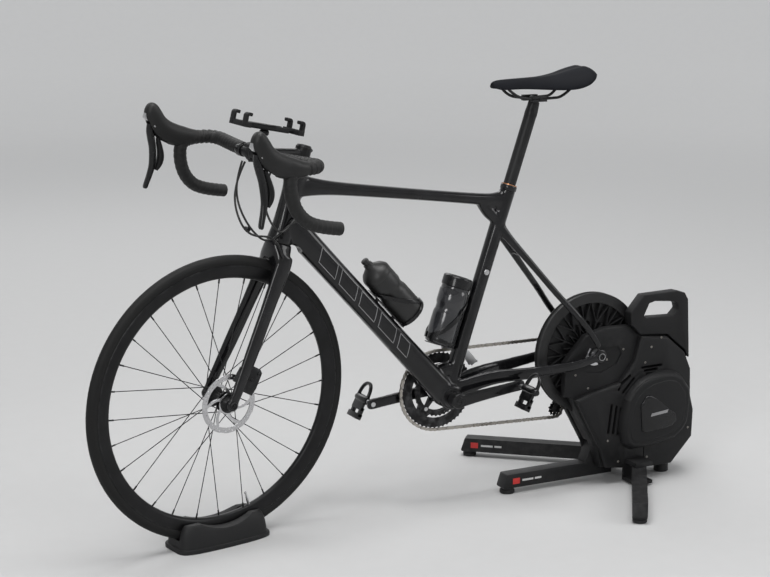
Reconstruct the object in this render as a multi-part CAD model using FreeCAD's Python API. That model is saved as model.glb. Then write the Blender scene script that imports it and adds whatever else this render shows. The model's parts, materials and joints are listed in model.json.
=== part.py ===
import FreeCAD, Part
import math
import os

# Road bicycle on a direct-drive indoor trainer, with its front wheel on a riser block.
#
# The bicycle faces -X, its left side is -Y and +Z is up.  The work is laid out from the rear axle
# (x = 0) on the floor (z = 0) and moved at the end, so that the origin is the centre of the footprint.
# The fork, bars and front wheel are laid out straight ahead, and turned about the steering axis last.

V = FreeCAD.Vector

# Overall layout
REAR_AXLE_X = 517.5
AXLE_HEIGHT = 347.0
WHEELBASE = 1005.0
HEAD_ANGLE = 73.0
FORK_RAKE = 47.0
STEER_REST = 10.0
BB_SETBACK = 405.8
BB_HEIGHT = 280.5
SEAT_ANGLE = 71.3

# Fits
SHAFT_FIT = 0.05
RUN_CLEAR = 1.6

# Frame
HEAD_FROM_AXLE = 384.0
HEAD_LENGTH = 164.0
HEAD_R = 25.0
HEAD_BORE_R = 20.0
STEERER_R = 14.3
SEAT_TUBE_LENGTH = 528.0
SEAT_TUBE_DEEP = 36.0
SEAT_TUBE_WIDE = 34.0
POST_R = 15.4
DOWN_TUBE_DEEP = 56.0
DOWN_TUBE_WIDE = 48.0
DOWN_TUBE_UP = 55.0
TOP_TUBE_DEEP = 26.0
TOP_TUBE_WIDE = 36.0
TOP_TUBE_DOWN = 30.0
SEATSTAY_DOWN = 98.0
BB_SHELL_R = 29.0
BB_HALF = 34.0
BB_BORE_R = 20.0
SPINDLE_R = 12.0
DROPOUT_IN = 68.0
DROPOUT_THICK = 8.0
DROPOUT_R = 19.0
AXLE_R = 6.0

# Front wheel
TYRE_R = 339.0
TYRE_SECTION_R = 14.0
RIM_IN_R = 285.5
RIM_OUT_R = 317.0
RIM_HALF = 12.0
RIM_WALL = 2.0
SPOKE_R = 1.1
SPOKES = 28
HUB_R = 13.0
FLANGE_R = 25.0
FLANGE_Y = 27.0
HUB_HALF = 49.0
ROTOR_R = 70.0
ROTOR_Y = 40.0
ROTOR_HALF = 0.9

# Fork
FORK_IN = 50.0
FORK_END_THICK = 12.0
CROWN_HALF = 32.0
STEM_RISE = 22.0
STEM_HEIGHT = 40.0
STEM_LENGTH = 110.0

# Handlebar, half widths from the middle
BAR_CLAMP_R = 15.9
BAR_R = 11.9
TAPE_R = 15.4
HOOD_Y = 232.0
DROP_Y = 244.0
BAR_DROP = 126.0
BAR_REACH = 78.0
TAPE_START = 72.0
HOSE_R = 2.5

# Crank and chain
CRANK_LENGTH = 172.0
CRANK_ANGLE = 6.2
CHAIN_PITCH = 12.7
RING_TEETH = 50
INNER_TEETH = 34
COG_TEETH = (13, 14, 15, 16, 17, 18, 19, 21, 23, 25, 28)
COG_PITCH = 3.95
RING_Y = 47.0
RING_GAP = 6.5
COG_Y = 58.0
JOCKEY_TEETH = 11
TOOTH_HALF = 0.8
TOOTH_SHORT = 3.3
PIN_R = 1.8
PLATE_THICK = 0.85
PLATE_HALF = 4.1
RING_BOLT_R = 55.0
PEDAL_IN = 88.0
PEDAL_OUT = 150.0
PEDAL_TILT = 62.0
PEDAL_SHAFT_R = 6.0

# Saddle
POST_TOP = 748.0
SADDLE_LENGTH = 268.0
SADDLE_WIDE = 144.0
RAIL_R = 3.5
RAIL_Y = 22.0

# Bottles
BOTTLE_R = 36.5
BOTTLE_LENGTH = 172.0
CANISTER_LENGTH = 172.0
BOTTLE_UP = 222.0
CANISTER_UP = 118.0
CAGE_THICK = 2.5
CAGE_CLEAR = 0.6
CAGE_SPACER = 5.0
CAGE_SPINE_HALF = 9.0

# Trainer
DISC_R = 155.0
DISC_IN = -25.0
DISC_OUT = -5.0
BELT_SEAT_R = 148.0
BELT_THICK = 2.5
MOTOR_X = 165.0
MOTOR_Z = 190.0
FLYWHEEL_R = 88.0
MOTOR_COVER_R = 98.0
COVER_WALL = 3.0
LEG_BASE = 15.0
LEG_TOP = 52.0
LEG_WIDE = 38.0
FOOT_R = 19.0
LEG_PIVOT_X = 113.0
LEG_PIVOT_Y = 94.0
LEG_SHAFT_R = 7.0
RIGHT_LEG_LENGTH = 349.0
RIGHT_LEG_ANGLE = 40.0
LEFT_LEG_LENGTH = 292.0
LEFT_LEG_ANGLE = 55.5
CENTRE_FOOT_X = -226.0
REAR_FOOT_X = 232.0
REAR_FOOT_Y = -25.0

# Riser block
BLOCK_FRONT = 126.0
BLOCK_REAR = 119.0
BLOCK_HALF = 56.0
BLOCK_HIGH = 63.0
GROOVE_HALF = 21.0

# Points worked out from the layout
HEAD = math.radians(HEAD_ANGLE)
SEAT = math.radians(SEAT_ANGLE)
REAR = V(0, 0, AXLE_HEIGHT)
FRONT = V(-WHEELBASE, 0, AXLE_HEIGHT)
BB = V(-BB_SETBACK, 0, BB_HEIGHT)
STEER_DIR = V(math.cos(HEAD), 0, math.sin(HEAD))
STEER_FOOT = FRONT + V(math.sin(HEAD), 0, -math.cos(HEAD)) * FORK_RAKE
SEAT_DIR = V(math.cos(SEAT), 0, math.sin(SEAT))
HEAD_TOP = HEAD_FROM_AXLE + HEAD_LENGTH
STEM_TOP = HEAD_TOP + STEM_RISE + STEM_HEIGHT
TYRE_MID_R = TYRE_R - TYRE_SECTION_R
CRANK = math.radians(CRANK_ANGLE)
LEFT_EYE = BB + V(math.cos(CRANK), 0, math.sin(CRANK)) * CRANK_LENGTH
RIGHT_EYE = BB - V(math.cos(CRANK), 0, math.sin(CRANK)) * CRANK_LENGTH
MOTOR = V(MOTOR_X, 0, MOTOR_Z)
FLOOR_DIR = STEER_DIR * (STEER_FOOT.z / STEER_DIR.z)
BLOCK_PIVOT = STEER_FOOT - FLOOR_DIR


def on_steerer(distance):
    """A point on the steering axis, that far up from the foot of the rake."""
    return STEER_FOOT + STEER_DIR * distance


def on_seat(distance):
    """A point on the seat tube's axis, that far up from the bottom bracket."""
    return BB + SEAT_DIR * distance


def pitch_radius(teeth):
    """The radius on which a sprocket carries the chain's pins."""
    return CHAIN_PITCH / (2 * math.sin(math.pi / teeth))


def rod(start, end, radius):
    """A round bar between two points."""
    return Part.makeCylinder(radius, (end - start).Length, start, end - start)


def disc(centre, radius, y0, y1):
    """A round plate about an axis along Y."""
    low = min(y0, y1)
    return Part.makeCylinder(radius, abs(y1 - y0), V(centre.x, low, centre.z), V(0, 1, 0))


def ring(centre, inner, outer, y0, y1):
    """A washer about an axis along Y."""
    return disc(centre, outer, y0, y1).cut(disc(centre, inner, y0 - 1, y1 + 1))


def box(low, high):
    """A box between its lowest and highest corners."""
    return Part.makeBox(high.x - low.x, high.y - low.y, high.z - low.z, low)


def slab(points, y0, y1):
    """A plate cut to an outline in the XZ plane."""
    corners = [V(x, y0, z) for x, z in points]
    wire = Part.makePolygon(corners + corners[:1])
    return Part.Face(wire).extrude(V(0, y1 - y0, 0))


def hollow_slab(points, y0, y1, wall):
    """A tray cut to an outline, open on its y1 side."""
    corners = [V(x, y0, z) for x, z in points]
    face = Part.Face(Part.makePolygon(corners + corners[:1]))
    inner = face.makeOffset2D(-wall)
    inner.translate(V(0, wall if y1 > y0 else -wall, 0))
    return face.extrude(V(0, y1 - y0, 0)).cut(inner.extrude(V(0, y1 - y0, 0)))


def oval(centre, along, deep, wide, power=2.0):
    """A closed rounded section, deep across the run and wide along Y."""
    up = along.cross(V(0, 1, 0))
    up.normalize()
    points = []
    for step in range(16):
        angle = 2 * math.pi * step / 16
        c = math.copysign(abs(math.cos(angle)) ** (2 / power), math.cos(angle))
        s = math.copysign(abs(math.sin(angle)) ** (2 / power), math.sin(angle))
        points.append(centre + up * (deep / 2 * c) + V(0, wide / 2 * s, 0))
    curve = Part.BSplineCurve()
    curve.interpolate(Points=points, PeriodicFlag=True)
    return Part.Wire(curve.toShape())


def skin(sections, ruled=False):
    """A solid through a list of closed sections."""
    return Part.makeLoft(sections, True, ruled)


def straight_tube(start, end, sections, power=2.0):
    """A tube between two points, with (place, deep, wide) sections along it."""
    run = end - start
    return skin([oval(start + run * place, run, deep, wide, power) for place, deep, wide in sections])


def bent_path(points):
    """Straight runs joined by tangent arcs, as large as the runs allow."""
    edges = []
    last = points[0]
    tightest = 1e9
    for before, corner, after in zip(points, points[1:], points[2:]):
        back = before - corner
        ahead = after - corner
        short = min(back.Length, ahead.Length)
        back.normalize()
        ahead.normalize()
        half_turn = (math.pi - back.getAngle(ahead)) / 2
        radius = 0.45 * short / math.tan(half_turn)
        tightest = min(tightest, radius)
        start = corner + back * (0.45 * short)
        end = corner + ahead * (0.45 * short)
        middle = back + ahead
        middle.normalize()
        summit = corner + middle * (radius / math.cos(half_turn) - radius)
        edges.append(Part.LineSegment(last, start).toShape())
        edges.append(Part.Arc(start, summit, end).toShape())
        last = end
    edges.append(Part.LineSegment(last, points[-1]).toShape())
    print("bends down to %.0f mm" % tightest)
    return Part.Wire(edges)


def bent_tube(points, radius):
    """A round tube along a bent path."""
    path = bent_path(points)
    circle = Part.Wire(Part.makeCircle(radius, points[0], points[1] - points[0]))
    return path.makePipeShell([circle], True, False)


def mirrored(shape):
    """The same piece on the other side of the bicycle."""
    return shape.mirror(V(0, 0, 0), V(0, 1, 0))


def pair(shape):
    """A piece and its mirror image, as two separate solids."""
    return Part.makeCompound([shape, mirrored(shape)])


def sprocket(centre, teeth, y):
    """A toothed plate, with its tips just inside the chain's pins."""
    tip = pitch_radius(teeth) - TOOTH_SHORT
    root = tip - 2.6
    points = []
    for tooth in range(teeth):
        for part, radius in ((-0.32, root), (-0.12, tip), (0.12, tip), (0.32, root)):
            angle = 2 * math.pi * (tooth + part) / teeth
            points.append((centre.x + radius * math.cos(angle), centre.z + radius * math.sin(angle)))
    return slab(points, y - TOOTH_HALF, y + TOOTH_HALF)


# ---- Frame -----------------------------------------------------------------------------------

def main_frame():
    low = on_steerer(HEAD_FROM_AXLE)
    high = on_steerer(HEAD_TOP)
    head = rod(low, high, HEAD_R)
    down = straight_tube(BB, on_steerer(HEAD_FROM_AXLE + DOWN_TUBE_UP),
                         [(0, DOWN_TUBE_DEEP + 4, DOWN_TUBE_WIDE + 12),
                          (0.5, DOWN_TUBE_DEEP, DOWN_TUBE_WIDE),
                          (0.85, DOWN_TUBE_DEEP, DOWN_TUBE_WIDE),
                          (1, DOWN_TUBE_DEEP + 8, DOWN_TUBE_WIDE - 4)], 2.6)
    seat = straight_tube(BB, on_seat(SEAT_TUBE_LENGTH),
                         [(0, SEAT_TUBE_DEEP + 2, SEAT_TUBE_WIDE + 8),
                          (0.35, SEAT_TUBE_DEEP, SEAT_TUBE_WIDE),
                          (1, SEAT_TUBE_DEEP, SEAT_TUBE_WIDE)])
    top = straight_tube(on_seat(SEAT_TUBE_LENGTH - TOP_TUBE_DOWN), on_steerer(HEAD_TOP - TOP_TUBE_DOWN),
                        [(0, TOP_TUBE_DEEP + 22, TOP_TUBE_WIDE - 4),
                         (0.1, TOP_TUBE_DEEP, TOP_TUBE_WIDE - 4),
                         (0.5, TOP_TUBE_DEEP, TOP_TUBE_WIDE),
                         (0.84, TOP_TUBE_DEEP + 4, TOP_TUBE_WIDE + 4),
                         (1, TOP_TUBE_DEEP + 30, TOP_TUBE_WIDE + 4)], 2.6)
    frame = disc(BB, BB_SHELL_R, -BB_HALF, BB_HALF).multiFuse([head, down, seat, top])
    frame = frame.cut(rod(low - STEER_DIR * 60, high + STEER_DIR * 60, HEAD_BORE_R))
    frame = frame.cut(disc(BB, BB_BORE_R, -BB_HALF - 9, BB_HALF + 9))
    bore = rod(on_seat(SEAT_TUBE_LENGTH - 320), on_seat(SEAT_TUBE_LENGTH + 20), POST_R + SHAFT_FIT)
    return frame.cut(bore)


def stay(points, sections, power=2.4):
    """One chainstay or seatstay through its points, each with its own depth and width."""
    wires = []
    for index, (point, (deep, wide)) in enumerate(zip(points, sections)):
        before = points[max(index - 1, 0)]
        after = points[min(index + 1, len(points) - 1)]
        along = after - before
        wires.append(oval(point, V(along.x, 0, along.z), deep, wide, power))
    return skin(wires)


def dropout():
    return disc(REAR, DROPOUT_R, DROPOUT_IN, DROPOUT_IN + DROPOUT_THICK)


def chainstays():
    end_y = DROPOUT_IN + DROPOUT_THICK / 2
    points = [BB + V(20, 21, 16), BB + V(115, 31, 36), BB + V(215, 52, 42),
              REAR + V(-80, end_y - 3, -16), REAR + V(-10, end_y, -2)]
    one = stay(points, [(44, 17), (36, 15), (30, 15), (24, 13), (18, 9)])
    one = one.fuse(dropout()).cut(disc(REAR, AXLE_R, 0, DROPOUT_IN + 20))
    one = one.cut(disc(REAR, 100, 0, DROPOUT_IN)).cut(disc(BB, BB_SHELL_R, 0, BB_HALF))
    return pair(one)


def seatstays():
    top = on_seat(SEAT_TUBE_LENGTH - SEATSTAY_DOWN)
    end_y = DROPOUT_IN + DROPOUT_THICK / 2
    points = [top + V(4, 9, 2), top + V(50, 25, -56), top + V(150, 47, -173),
              REAR + V(-24, end_y - 2, 58), REAR + V(-4, end_y, 24)]
    one = stay(points, [(30, 13), (20, 13), (16, 13), (16, 11), (14, 8)])
    one = one.cut(disc(REAR, DROPOUT_R, 0, DROPOUT_IN + 20)).cut(box(V(-600, -90, 0), V(200, 0.2, 1200)))
    tube = rod(on_seat(100), on_seat(SEAT_TUBE_LENGTH), POST_R + 2.8)
    return pair(one.cut(tube))


def headset_bearings():
    rings = []
    for place in (HEAD_FROM_AXLE, HEAD_TOP - 8):
        outer = rod(on_steerer(place), on_steerer(place + 8), HEAD_BORE_R)
        inner = rod(on_steerer(place - 1), on_steerer(place + 9), STEERER_R + SHAFT_FIT)
        rings.append(outer.cut(inner))
    return Part.makeCompound(rings)


def bottom_bracket_cups():
    one = disc(BB, BB_SHELL_R - 5, BB_HALF, BB_HALF + 4).fuse(disc(BB, BB_BORE_R, BB_HALF - 12, BB_HALF))
    one = one.cut(disc(BB, SPINDLE_R + SHAFT_FIT, 0, BB_HALF + 10))
    return pair(one)


def rear_axle():
    shaft = disc(REAR, AXLE_R, -DROPOUT_IN - DROPOUT_THICK - 1, DROPOUT_IN + DROPOUT_THICK)
    head = disc(REAR, AXLE_R + 3, -DROPOUT_IN - DROPOUT_THICK - 4, -DROPOUT_IN - DROPOUT_THICK)
    left_end = ring(REAR, AXLE_R, 15, -DROPOUT_IN, DISC_IN - 4)
    right_end = ring(REAR, AXLE_R, 12, COG_Y + 7, DROPOUT_IN)
    return Part.makeCompound([shaft.fuse(head), left_end, right_end])


# ---- Bottle cages, bottle and canister ---------------------------------------------------------

def down_tube_dir():
    run = on_steerer(HEAD_FROM_AXLE + DOWN_TUBE_UP) - BB
    run.normalize()
    return run


def bottle_axis():
    """The foot of the bottle on the down tube, and the way it points."""
    run = down_tube_dir()
    away = V(-run.z, 0, run.x) * -1
    offset = DOWN_TUBE_DEEP / 2 + CAGE_SPACER + CAGE_THICK + CAGE_CLEAR + BOTTLE_R
    return BB + run * BOTTLE_UP + away * offset, run


def canister_axis():
    """The foot of the canister on the seat tube, and the way it points."""
    away = V(-SEAT_DIR.z, 0, SEAT_DIR.x)
    offset = SEAT_TUBE_DEEP / 2 + CAGE_SPACER + CAGE_THICK + CAGE_CLEAR + BOTTLE_R
    return on_seat(CANISTER_UP) + away * offset, SEAT_DIR


def cage(foot, run, away):
    """A cage: a spine on the tube, a low cup, a lip under the base and a strap round the middle."""
    outer_r = BOTTLE_R + CAGE_CLEAR + CAGE_THICK
    inner = rod(foot - run * 0.6, foot + run * 300, BOTTLE_R + CAGE_CLEAR)
    cup = rod(foot - run * 4, foot + run * 22, outer_r)
    strap = rod(foot + run * 84, foot + run * 96, outer_r)
    side = V(0, CAGE_SPINE_HALF, 0)
    low = foot - away * (outer_r + CAGE_SPACER)
    high = foot - away * (outer_r - 5)
    corners = [low - side, low + side, high + side, high - side]
    spine = Part.Face(Part.makePolygon(corners + corners[:1])).extrude(run * 128)
    return cup.multiFuse([strap, spine]).cut(inner)


def bottle_cages():
    foot, run = bottle_axis()
    away = V(run.z, 0, -run.x)
    tilt, seat_run = canister_axis()
    frame = main_frame()
    return Part.makeCompound([cage(foot, run, away).cut(frame),
                              cage(tilt, seat_run, V(-seat_run.z, 0, seat_run.x)).cut(frame)])


def turned(foot, run, profile):
    """A round body about an axis, from (height, radius) pairs."""
    side = V(0, 1, 0)
    points = [foot + run * profile[0][0]]
    points += [foot + run * height + side * radius for height, radius in profile]
    points.append(foot + run * profile[-1][0])
    wire = Part.makePolygon(points + points[:1])
    return Part.Face(wire).revolve(foot, run, 360)


def bottle():
    foot, run = bottle_axis()
    r = BOTTLE_R
    body = [(0, r - 4), (4, r), (78, r), (84, r - 2.5), (96, r - 2.5), (102, r),
            (BOTTLE_LENGTH - 34, r), (BOTTLE_LENGTH - 30, r + 0.4), (BOTTLE_LENGTH - 12, r - 6),
            (BOTTLE_LENGTH, 12), (BOTTLE_LENGTH + 8, 10), (BOTTLE_LENGTH + 9, 8), (BOTTLE_LENGTH + 22, 9)]
    return turned(foot, run, body)


def canister():
    foot, run = canister_axis()
    r = BOTTLE_R
    body = [(0, r - 4), (4, r), (78, r), (84, r - 2.5), (96, r - 2.5), (102, r),
            (CANISTER_LENGTH - 36, r), (CANISTER_LENGTH - 34, r - 2), (CANISTER_LENGTH - 28, r - 2),
            (CANISTER_LENGTH - 27, r + 0.4), (CANISTER_LENGTH - 2, r), (CANISTER_LENGTH, r - 3)]
    return turned(foot, run, body)


# ---- Chain, derailleurs and cranks -----------------------------------------------------------

UPPER_JOCKEY = REAR + V(-20, 0, -96)
LOWER_JOCKEY = REAR + V(-51, 0, -163)


def tangent(a, ra, b, rb, side, crossed):
    """Where a straight run leaves circle a and meets circle b, on the chosen side."""
    dx = b.x - a.x
    dz = b.z - a.z
    gap = math.hypot(dx, dz)
    spread = ra + rb if crossed else ra - rb
    base = math.atan2(dz, dx)
    swing = side * math.acos(spread / gap)
    angle = base + swing
    far = angle + math.pi if crossed else angle
    leave = V(a.x + ra * math.cos(angle), 0, a.z + ra * math.sin(angle))
    meet = V(b.x + rb * math.cos(far), 0, b.z + rb * math.sin(far))
    return leave, meet


def arc_points(centre, start, end, turn):
    """Points each few degrees round a circle, from start to end, turning one way."""
    radius = (start - centre).Length
    a0 = math.atan2(start.z - centre.z, start.x - centre.x)
    a1 = math.atan2(end.z - centre.z, end.x - centre.x)
    sweep = (a1 - a0) % (2 * math.pi)
    if turn < 0:
        sweep -= 2 * math.pi
    steps = max(2, int(abs(sweep) / 0.05))
    angles = [a0 + sweep * step / steps for step in range(steps + 1)]
    return [V(centre.x + radius * math.cos(a), 0, centre.z + radius * math.sin(a)) for a in angles]


def chain_line():
    """Closed pitch line of the chain, as points with the chain's sideways place at each."""
    big = pitch_radius(RING_TEETH)
    small = pitch_radius(COG_TEETH[0])
    guide = pitch_radius(JOCKEY_TEETH)
    top_a, top_b = tangent(BB, big, REAR, small, 1, False)
    cog_a, up_b = tangent(REAR, small, UPPER_JOCKEY, guide, 1, True)
    up_a, low_b = tangent(UPPER_JOCKEY, guide, LOWER_JOCKEY, guide, -1, True)
    low_a, ring_b = tangent(LOWER_JOCKEY, guide, BB, big, 1, False)
    points = arc_points(BB, ring_b, top_a, -1)
    split = len(points)
    points += arc_points(REAR, top_b, cog_a, -1)
    points += arc_points(UPPER_JOCKEY, up_b, up_a, 1)
    points += arc_points(LOWER_JOCKEY, low_b, low_a, -1)
    return points, split


def chain_pins():
    """Evenly spaced pin places round the closed chain."""
    points, split = chain_line()
    closed = points + points[:1]
    lengths = [(b - a).Length for a, b in zip(closed, closed[1:])]
    total = sum(lengths)
    count = 2 * round(total / CHAIN_PITCH / 2)
    top_run = (sum(lengths[:split - 1]), sum(lengths[:split]))
    low_run = (total - lengths[-1], total)
    pins = []
    for index in range(count):
        goal = total * index / count
        walked = 0.0
        for start, end, length in zip(closed, closed[1:], lengths):
            if walked + length >= goal:
                spot = start + (end - start) * ((goal - walked) / length)
                break
            walked += length
        spot.y = chain_side(goal, top_run, low_run)
        pins.append(spot)
    return pins


def chain_side(goal, top_run, low_run):
    """The chain's sideways place: it crosses from ring to cog in the middle of each long run."""
    if goal <= top_run[0]:
        return RING_Y
    if goal < top_run[1]:
        return RING_Y + (COG_Y - RING_Y) * eased(goal, top_run)
    if goal < low_run[0]:
        return COG_Y
    return COG_Y - (COG_Y - RING_Y) * eased(goal, low_run)


def eased(goal, run):
    """A share from 0 to 1 that starts and ends three pitches inside a run."""
    low = run[0] + 3 * CHAIN_PITCH
    high = run[1] - 3 * CHAIN_PITCH
    return min(1.0, max(0.0, (goal - low) / (high - low)))


def chain_link(start, end, outer):
    """Two side plates with what joins them: pins on an outer link, rollers on an inner one."""
    run = end - start
    y = (start.y + end.y) / 2
    angle = math.atan2(run.z, run.x)
    near = 1.15 + (PLATE_THICK if outer else 0)
    flat = math.hypot(run.x, run.z)
    pieces = []
    for side in (-1, 1):
        low = near if side > 0 else -near - PLATE_THICK
        for place in (0, flat):
            pieces.append(Part.makeCylinder(PLATE_HALF, PLATE_THICK, V(place, low, 0), V(0, 1, 0)))
        pieces.append(Part.makeBox(flat, PLATE_THICK, 2 * PLATE_HALF - 2, V(0, low, 1 - PLATE_HALF)))
    reach = near + PLATE_THICK
    for place in (0, flat):
        radius = PIN_R if outer else PIN_R + 1.1
        half = reach if outer else near
        pieces.append(Part.makeCylinder(radius, 2 * half, V(place, -half, 0), V(0, 1, 0)))
    link = pieces[0].multiFuse(pieces[1:])
    if not outer:
        for place in (0, flat):
            hole = Part.makeCylinder(PIN_R + SHAFT_FIT, 8, V(place, -4, 0), V(0, 1, 0))
            link = link.cut(hole)
    link.rotate(V(0, 0, 0), V(0, 1, 0), -math.degrees(angle))
    link.translate(V(start.x, y, start.z))
    return link


def chain():
    pins = chain_pins()
    links = []
    for index, start in enumerate(pins):
        links.append(chain_link(start, pins[(index + 1) % len(pins)], index % 2 == 0))
    return Part.makeCompound(links)


def front_derailleur():
    big = pitch_radius(RING_TEETH)
    plates = []
    for y in (RING_Y - 9.0, RING_Y + 7.4):
        plate = ring(BB, big + 6, big + 26, y, y + 1.4)
        keep = slab([(BB.x - 4, BB.z + 60), (BB.x - 4, BB.z + 140), (BB.x + 150, BB.z + 140),
                     (BB.x + 150, BB.z + 52)], y - 1, y + 3)
        plates.append(plate.common(keep))
    tail_low = BB + V(big + 10, 0, 62)
    bridge = box(tail_low + V(-4, RING_Y - 9, -4), tail_low + V(2, RING_Y + 8.8, 4))
    body = box(BB + V(32, 23, big + 9), BB + V(60, RING_Y - 9, big + 24))
    arm = box(BB + V(38, 12, big + 12), BB + V(54, 23, big + 22))
    seat = rod(on_seat(60), on_seat(300), SEAT_TUBE_WIDE / 2 + 3)
    return plates[0].multiFuse([plates[1], bridge, body, arm.cut(seat)])


def rear_derailleur():
    cage_y = COG_Y + 4.6
    outline = [(UPPER_JOCKEY.x + 10, UPPER_JOCKEY.z + 8), (UPPER_JOCKEY.x - 10, UPPER_JOCKEY.z + 12),
               (LOWER_JOCKEY.x - 9, LOWER_JOCKEY.z + 2), (LOWER_JOCKEY.x - 5, LOWER_JOCKEY.z - 9),
               (LOWER_JOCKEY.x + 6, LOWER_JOCKEY.z - 8)]
    outer = slab(outline, cage_y, cage_y + 2)
    inner = slab(outline, COG_Y - 6.6, COG_Y - 4.6)
    axles = [disc(centre, 2.5, COG_Y - 6.6, cage_y + 3) for centre in (UPPER_JOCKEY, LOWER_JOCKEY)]
    knuckle = rod(V(-4, cage_y, REAR.z - 78), V(-4, cage_y + 20, REAR.z - 78), 11)
    body = slab([(-14, REAR.z - 84), (-6, REAR.z - 68), (18, REAR.z - 40), (12, REAR.z - 22),
                 (0, REAR.z - 26)], DROPOUT_IN + 2, DROPOUT_IN + 16)
    link = slab([(UPPER_JOCKEY.x - 6, UPPER_JOCKEY.z - 6), (UPPER_JOCKEY.x + 10, UPPER_JOCKEY.z - 4),
                 (6, REAR.z - 70), (-12, REAR.z - 70)], cage_y, cage_y + 2)
    hanger = slab([(-12, REAR.z - 12), (10, REAR.z - 14), (16, REAR.z - 42), (4, REAR.z - 40)],
                  DROPOUT_IN + 1, DROPOUT_IN + 7).cut(disc(REAR, DROPOUT_R, 0, 90))
    return outer.multiFuse([inner, link, knuckle, body, hanger] + axles)


def jockey(centre):
    wheel = sprocket(centre, JOCKEY_TEETH, COG_Y)
    hub = disc(centre, 8, COG_Y - 3, COG_Y + 3)
    return wheel.fuse(hub).cut(disc(centre, 2.5 + SHAFT_FIT, 0, 100))


def crank_arm(eye, y0, y1, boss0):
    """A tapered arm from the bottom bracket to the pedal eye."""
    run = eye - BB
    run.normalize()
    across = V(-run.z, 0, run.x)
    corners = [BB + across * 15, eye + across * 13, eye - across * 13, BB - across * 15]
    blade = slab([(p.x, p.z) for p in corners], y0, y1)
    arm = blade.multiFuse([disc(eye, 14, y0, y1), disc(BB, 19, min(boss0, y1), max(boss0, y1))])
    return arm


def crank_arm_left():
    arm = crank_arm(LEFT_EYE, -73, -59, -BB_HALF - 5)
    return arm.cut(disc(BB, SPINDLE_R, -80, 0)).cut(disc(LEFT_EYE, PEDAL_SHAFT_R, -90, 0))


def crank_arm_right():
    arm = crank_arm(RIGHT_EYE, 57, 71, BB_HALF + 5)
    inner = RING_Y - RING_GAP + 1.6
    tabs = []
    for step in range(4):
        spot = ring_bolt(step)
        run = spot - BB
        run.normalize()
        across = V(-run.z, 0, run.x)
        corners = [BB + across * 12, spot + across * 8, spot - across * 8, BB - across * 12]
        tabs.append(slab([(p.x, p.z) for p in corners], inner, RING_Y - 1.6))
        tabs.append(disc(spot, 8, inner, RING_Y - 1.6).cut(disc(spot, 3.9, 0, 90)))
        tabs[-2] = tabs[-2].cut(disc(spot, 3.9, 0, 90))
    arm = arm.multiFuse(tabs)
    spindle = disc(BB, SPINDLE_R, -72, 71)
    return arm.fuse(spindle).cut(disc(RIGHT_EYE, PEDAL_SHAFT_R, 0, 90))


def ring_bolt(step):
    """One of the four places where the rings bolt to the right arm."""
    angle = CRANK + math.radians(45 + 90 * step)
    return BB + V(math.cos(angle), 0, math.sin(angle)) * RING_BOLT_R


def chainring(teeth, y, inner_r):
    """A ring: thin teeth on a thicker web, with four tabs for the bolts."""
    web_r = pitch_radius(teeth) - 10
    web = ring(BB, inner_r, web_r, y - 1.5, y + 1.5)
    plate = sprocket(BB, teeth, y).cut(disc(BB, inner_r, y - 5, y + 5))
    tabs = [disc(ring_bolt(step), 9, y - 1.5, y + 1.5) for step in range(4)]
    whole = web.multiFuse([plate] + tabs)
    for step in range(4):
        whole = whole.cut(disc(ring_bolt(step), 3.9, 0, 90))
    return whole.cut(disc(BB, 24, 0, 90))


def chainrings():
    return Part.makeCompound([chainring(RING_TEETH, RING_Y, RING_BOLT_R + 6),
                              chainring(INNER_TEETH, RING_Y - RING_GAP, RING_BOLT_R - 2)])


def chainring_bolts():
    bolts = [disc(ring_bolt(step), 3.9, RING_Y - RING_GAP - 2.2, RING_Y + 2.6) for step in range(4)]
    return Part.makeCompound(bolts)


def pedal_spindles():
    left = disc(LEFT_EYE, PEDAL_SHAFT_R, -PEDAL_OUT + 6, -59)
    right = disc(RIGHT_EYE, PEDAL_SHAFT_R, 57, PEDAL_OUT - 6)
    return Part.makeCompound([left, right])


def pedal(eye, side):
    """A clipless pedal: a bearing body, a rear clip block and a pointed front loop."""
    mid = (PEDAL_IN + PEDAL_OUT) / 2
    body = Part.makeCylinder(11, PEDAL_OUT - PEDAL_IN, V(0, PEDAL_IN, 0), V(0, 1, 0))
    plate = Part.makeBox(38, 52, 9, V(-30, mid - 26, -2))
    rear = Part.makeBox(16, 50, 17, V(-52, mid - 25, -7))
    arms = Part.makeBox(24, 50, 10, V(-44, mid - 25, -5)).cut(Part.makeBox(26, 26, 20, V(-38, mid - 13, -9)))
    nose = [V(4, mid - 26, -3), V(30, mid - 20, -3), V(42, mid - 8, -3), V(42, mid + 8, -3),
            V(30, mid + 20, -3), V(4, mid + 26, -3)]
    loop = Part.Face(Part.makePolygon(nose + nose[:1])).extrude(V(0, 0, 7))
    hole = [V(12, mid - 12, -9), V(28, mid - 11, -9), V(34, mid, -9), V(28, mid + 11, -9),
            V(12, mid + 12, -9)]
    loop = loop.cut(Part.Face(Part.makePolygon(hole + hole[:1])).extrude(V(0, 0, 20)))
    whole = body.multiFuse([plate, rear, arms, loop])
    deep = PEDAL_OUT - PEDAL_IN - 4
    bore = Part.makeCylinder(PEDAL_SHAFT_R + SHAFT_FIT, deep, V(0, PEDAL_IN - 1, 0), V(0, 1, 0))
    whole = whole.cut(bore)
    whole.rotate(V(0, 0, 0), V(0, 1, 0), -PEDAL_TILT)
    if side < 0:
        whole = mirrored(whole)
    whole.translate(V(eye.x, 0, eye.z))
    return whole


# ---- Seat ------------------------------------------------------------------------------------

def saddle_clamp():
    """The axis on which the saddle tilts, on top of the post."""
    return on_seat(POST_TOP)


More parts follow.
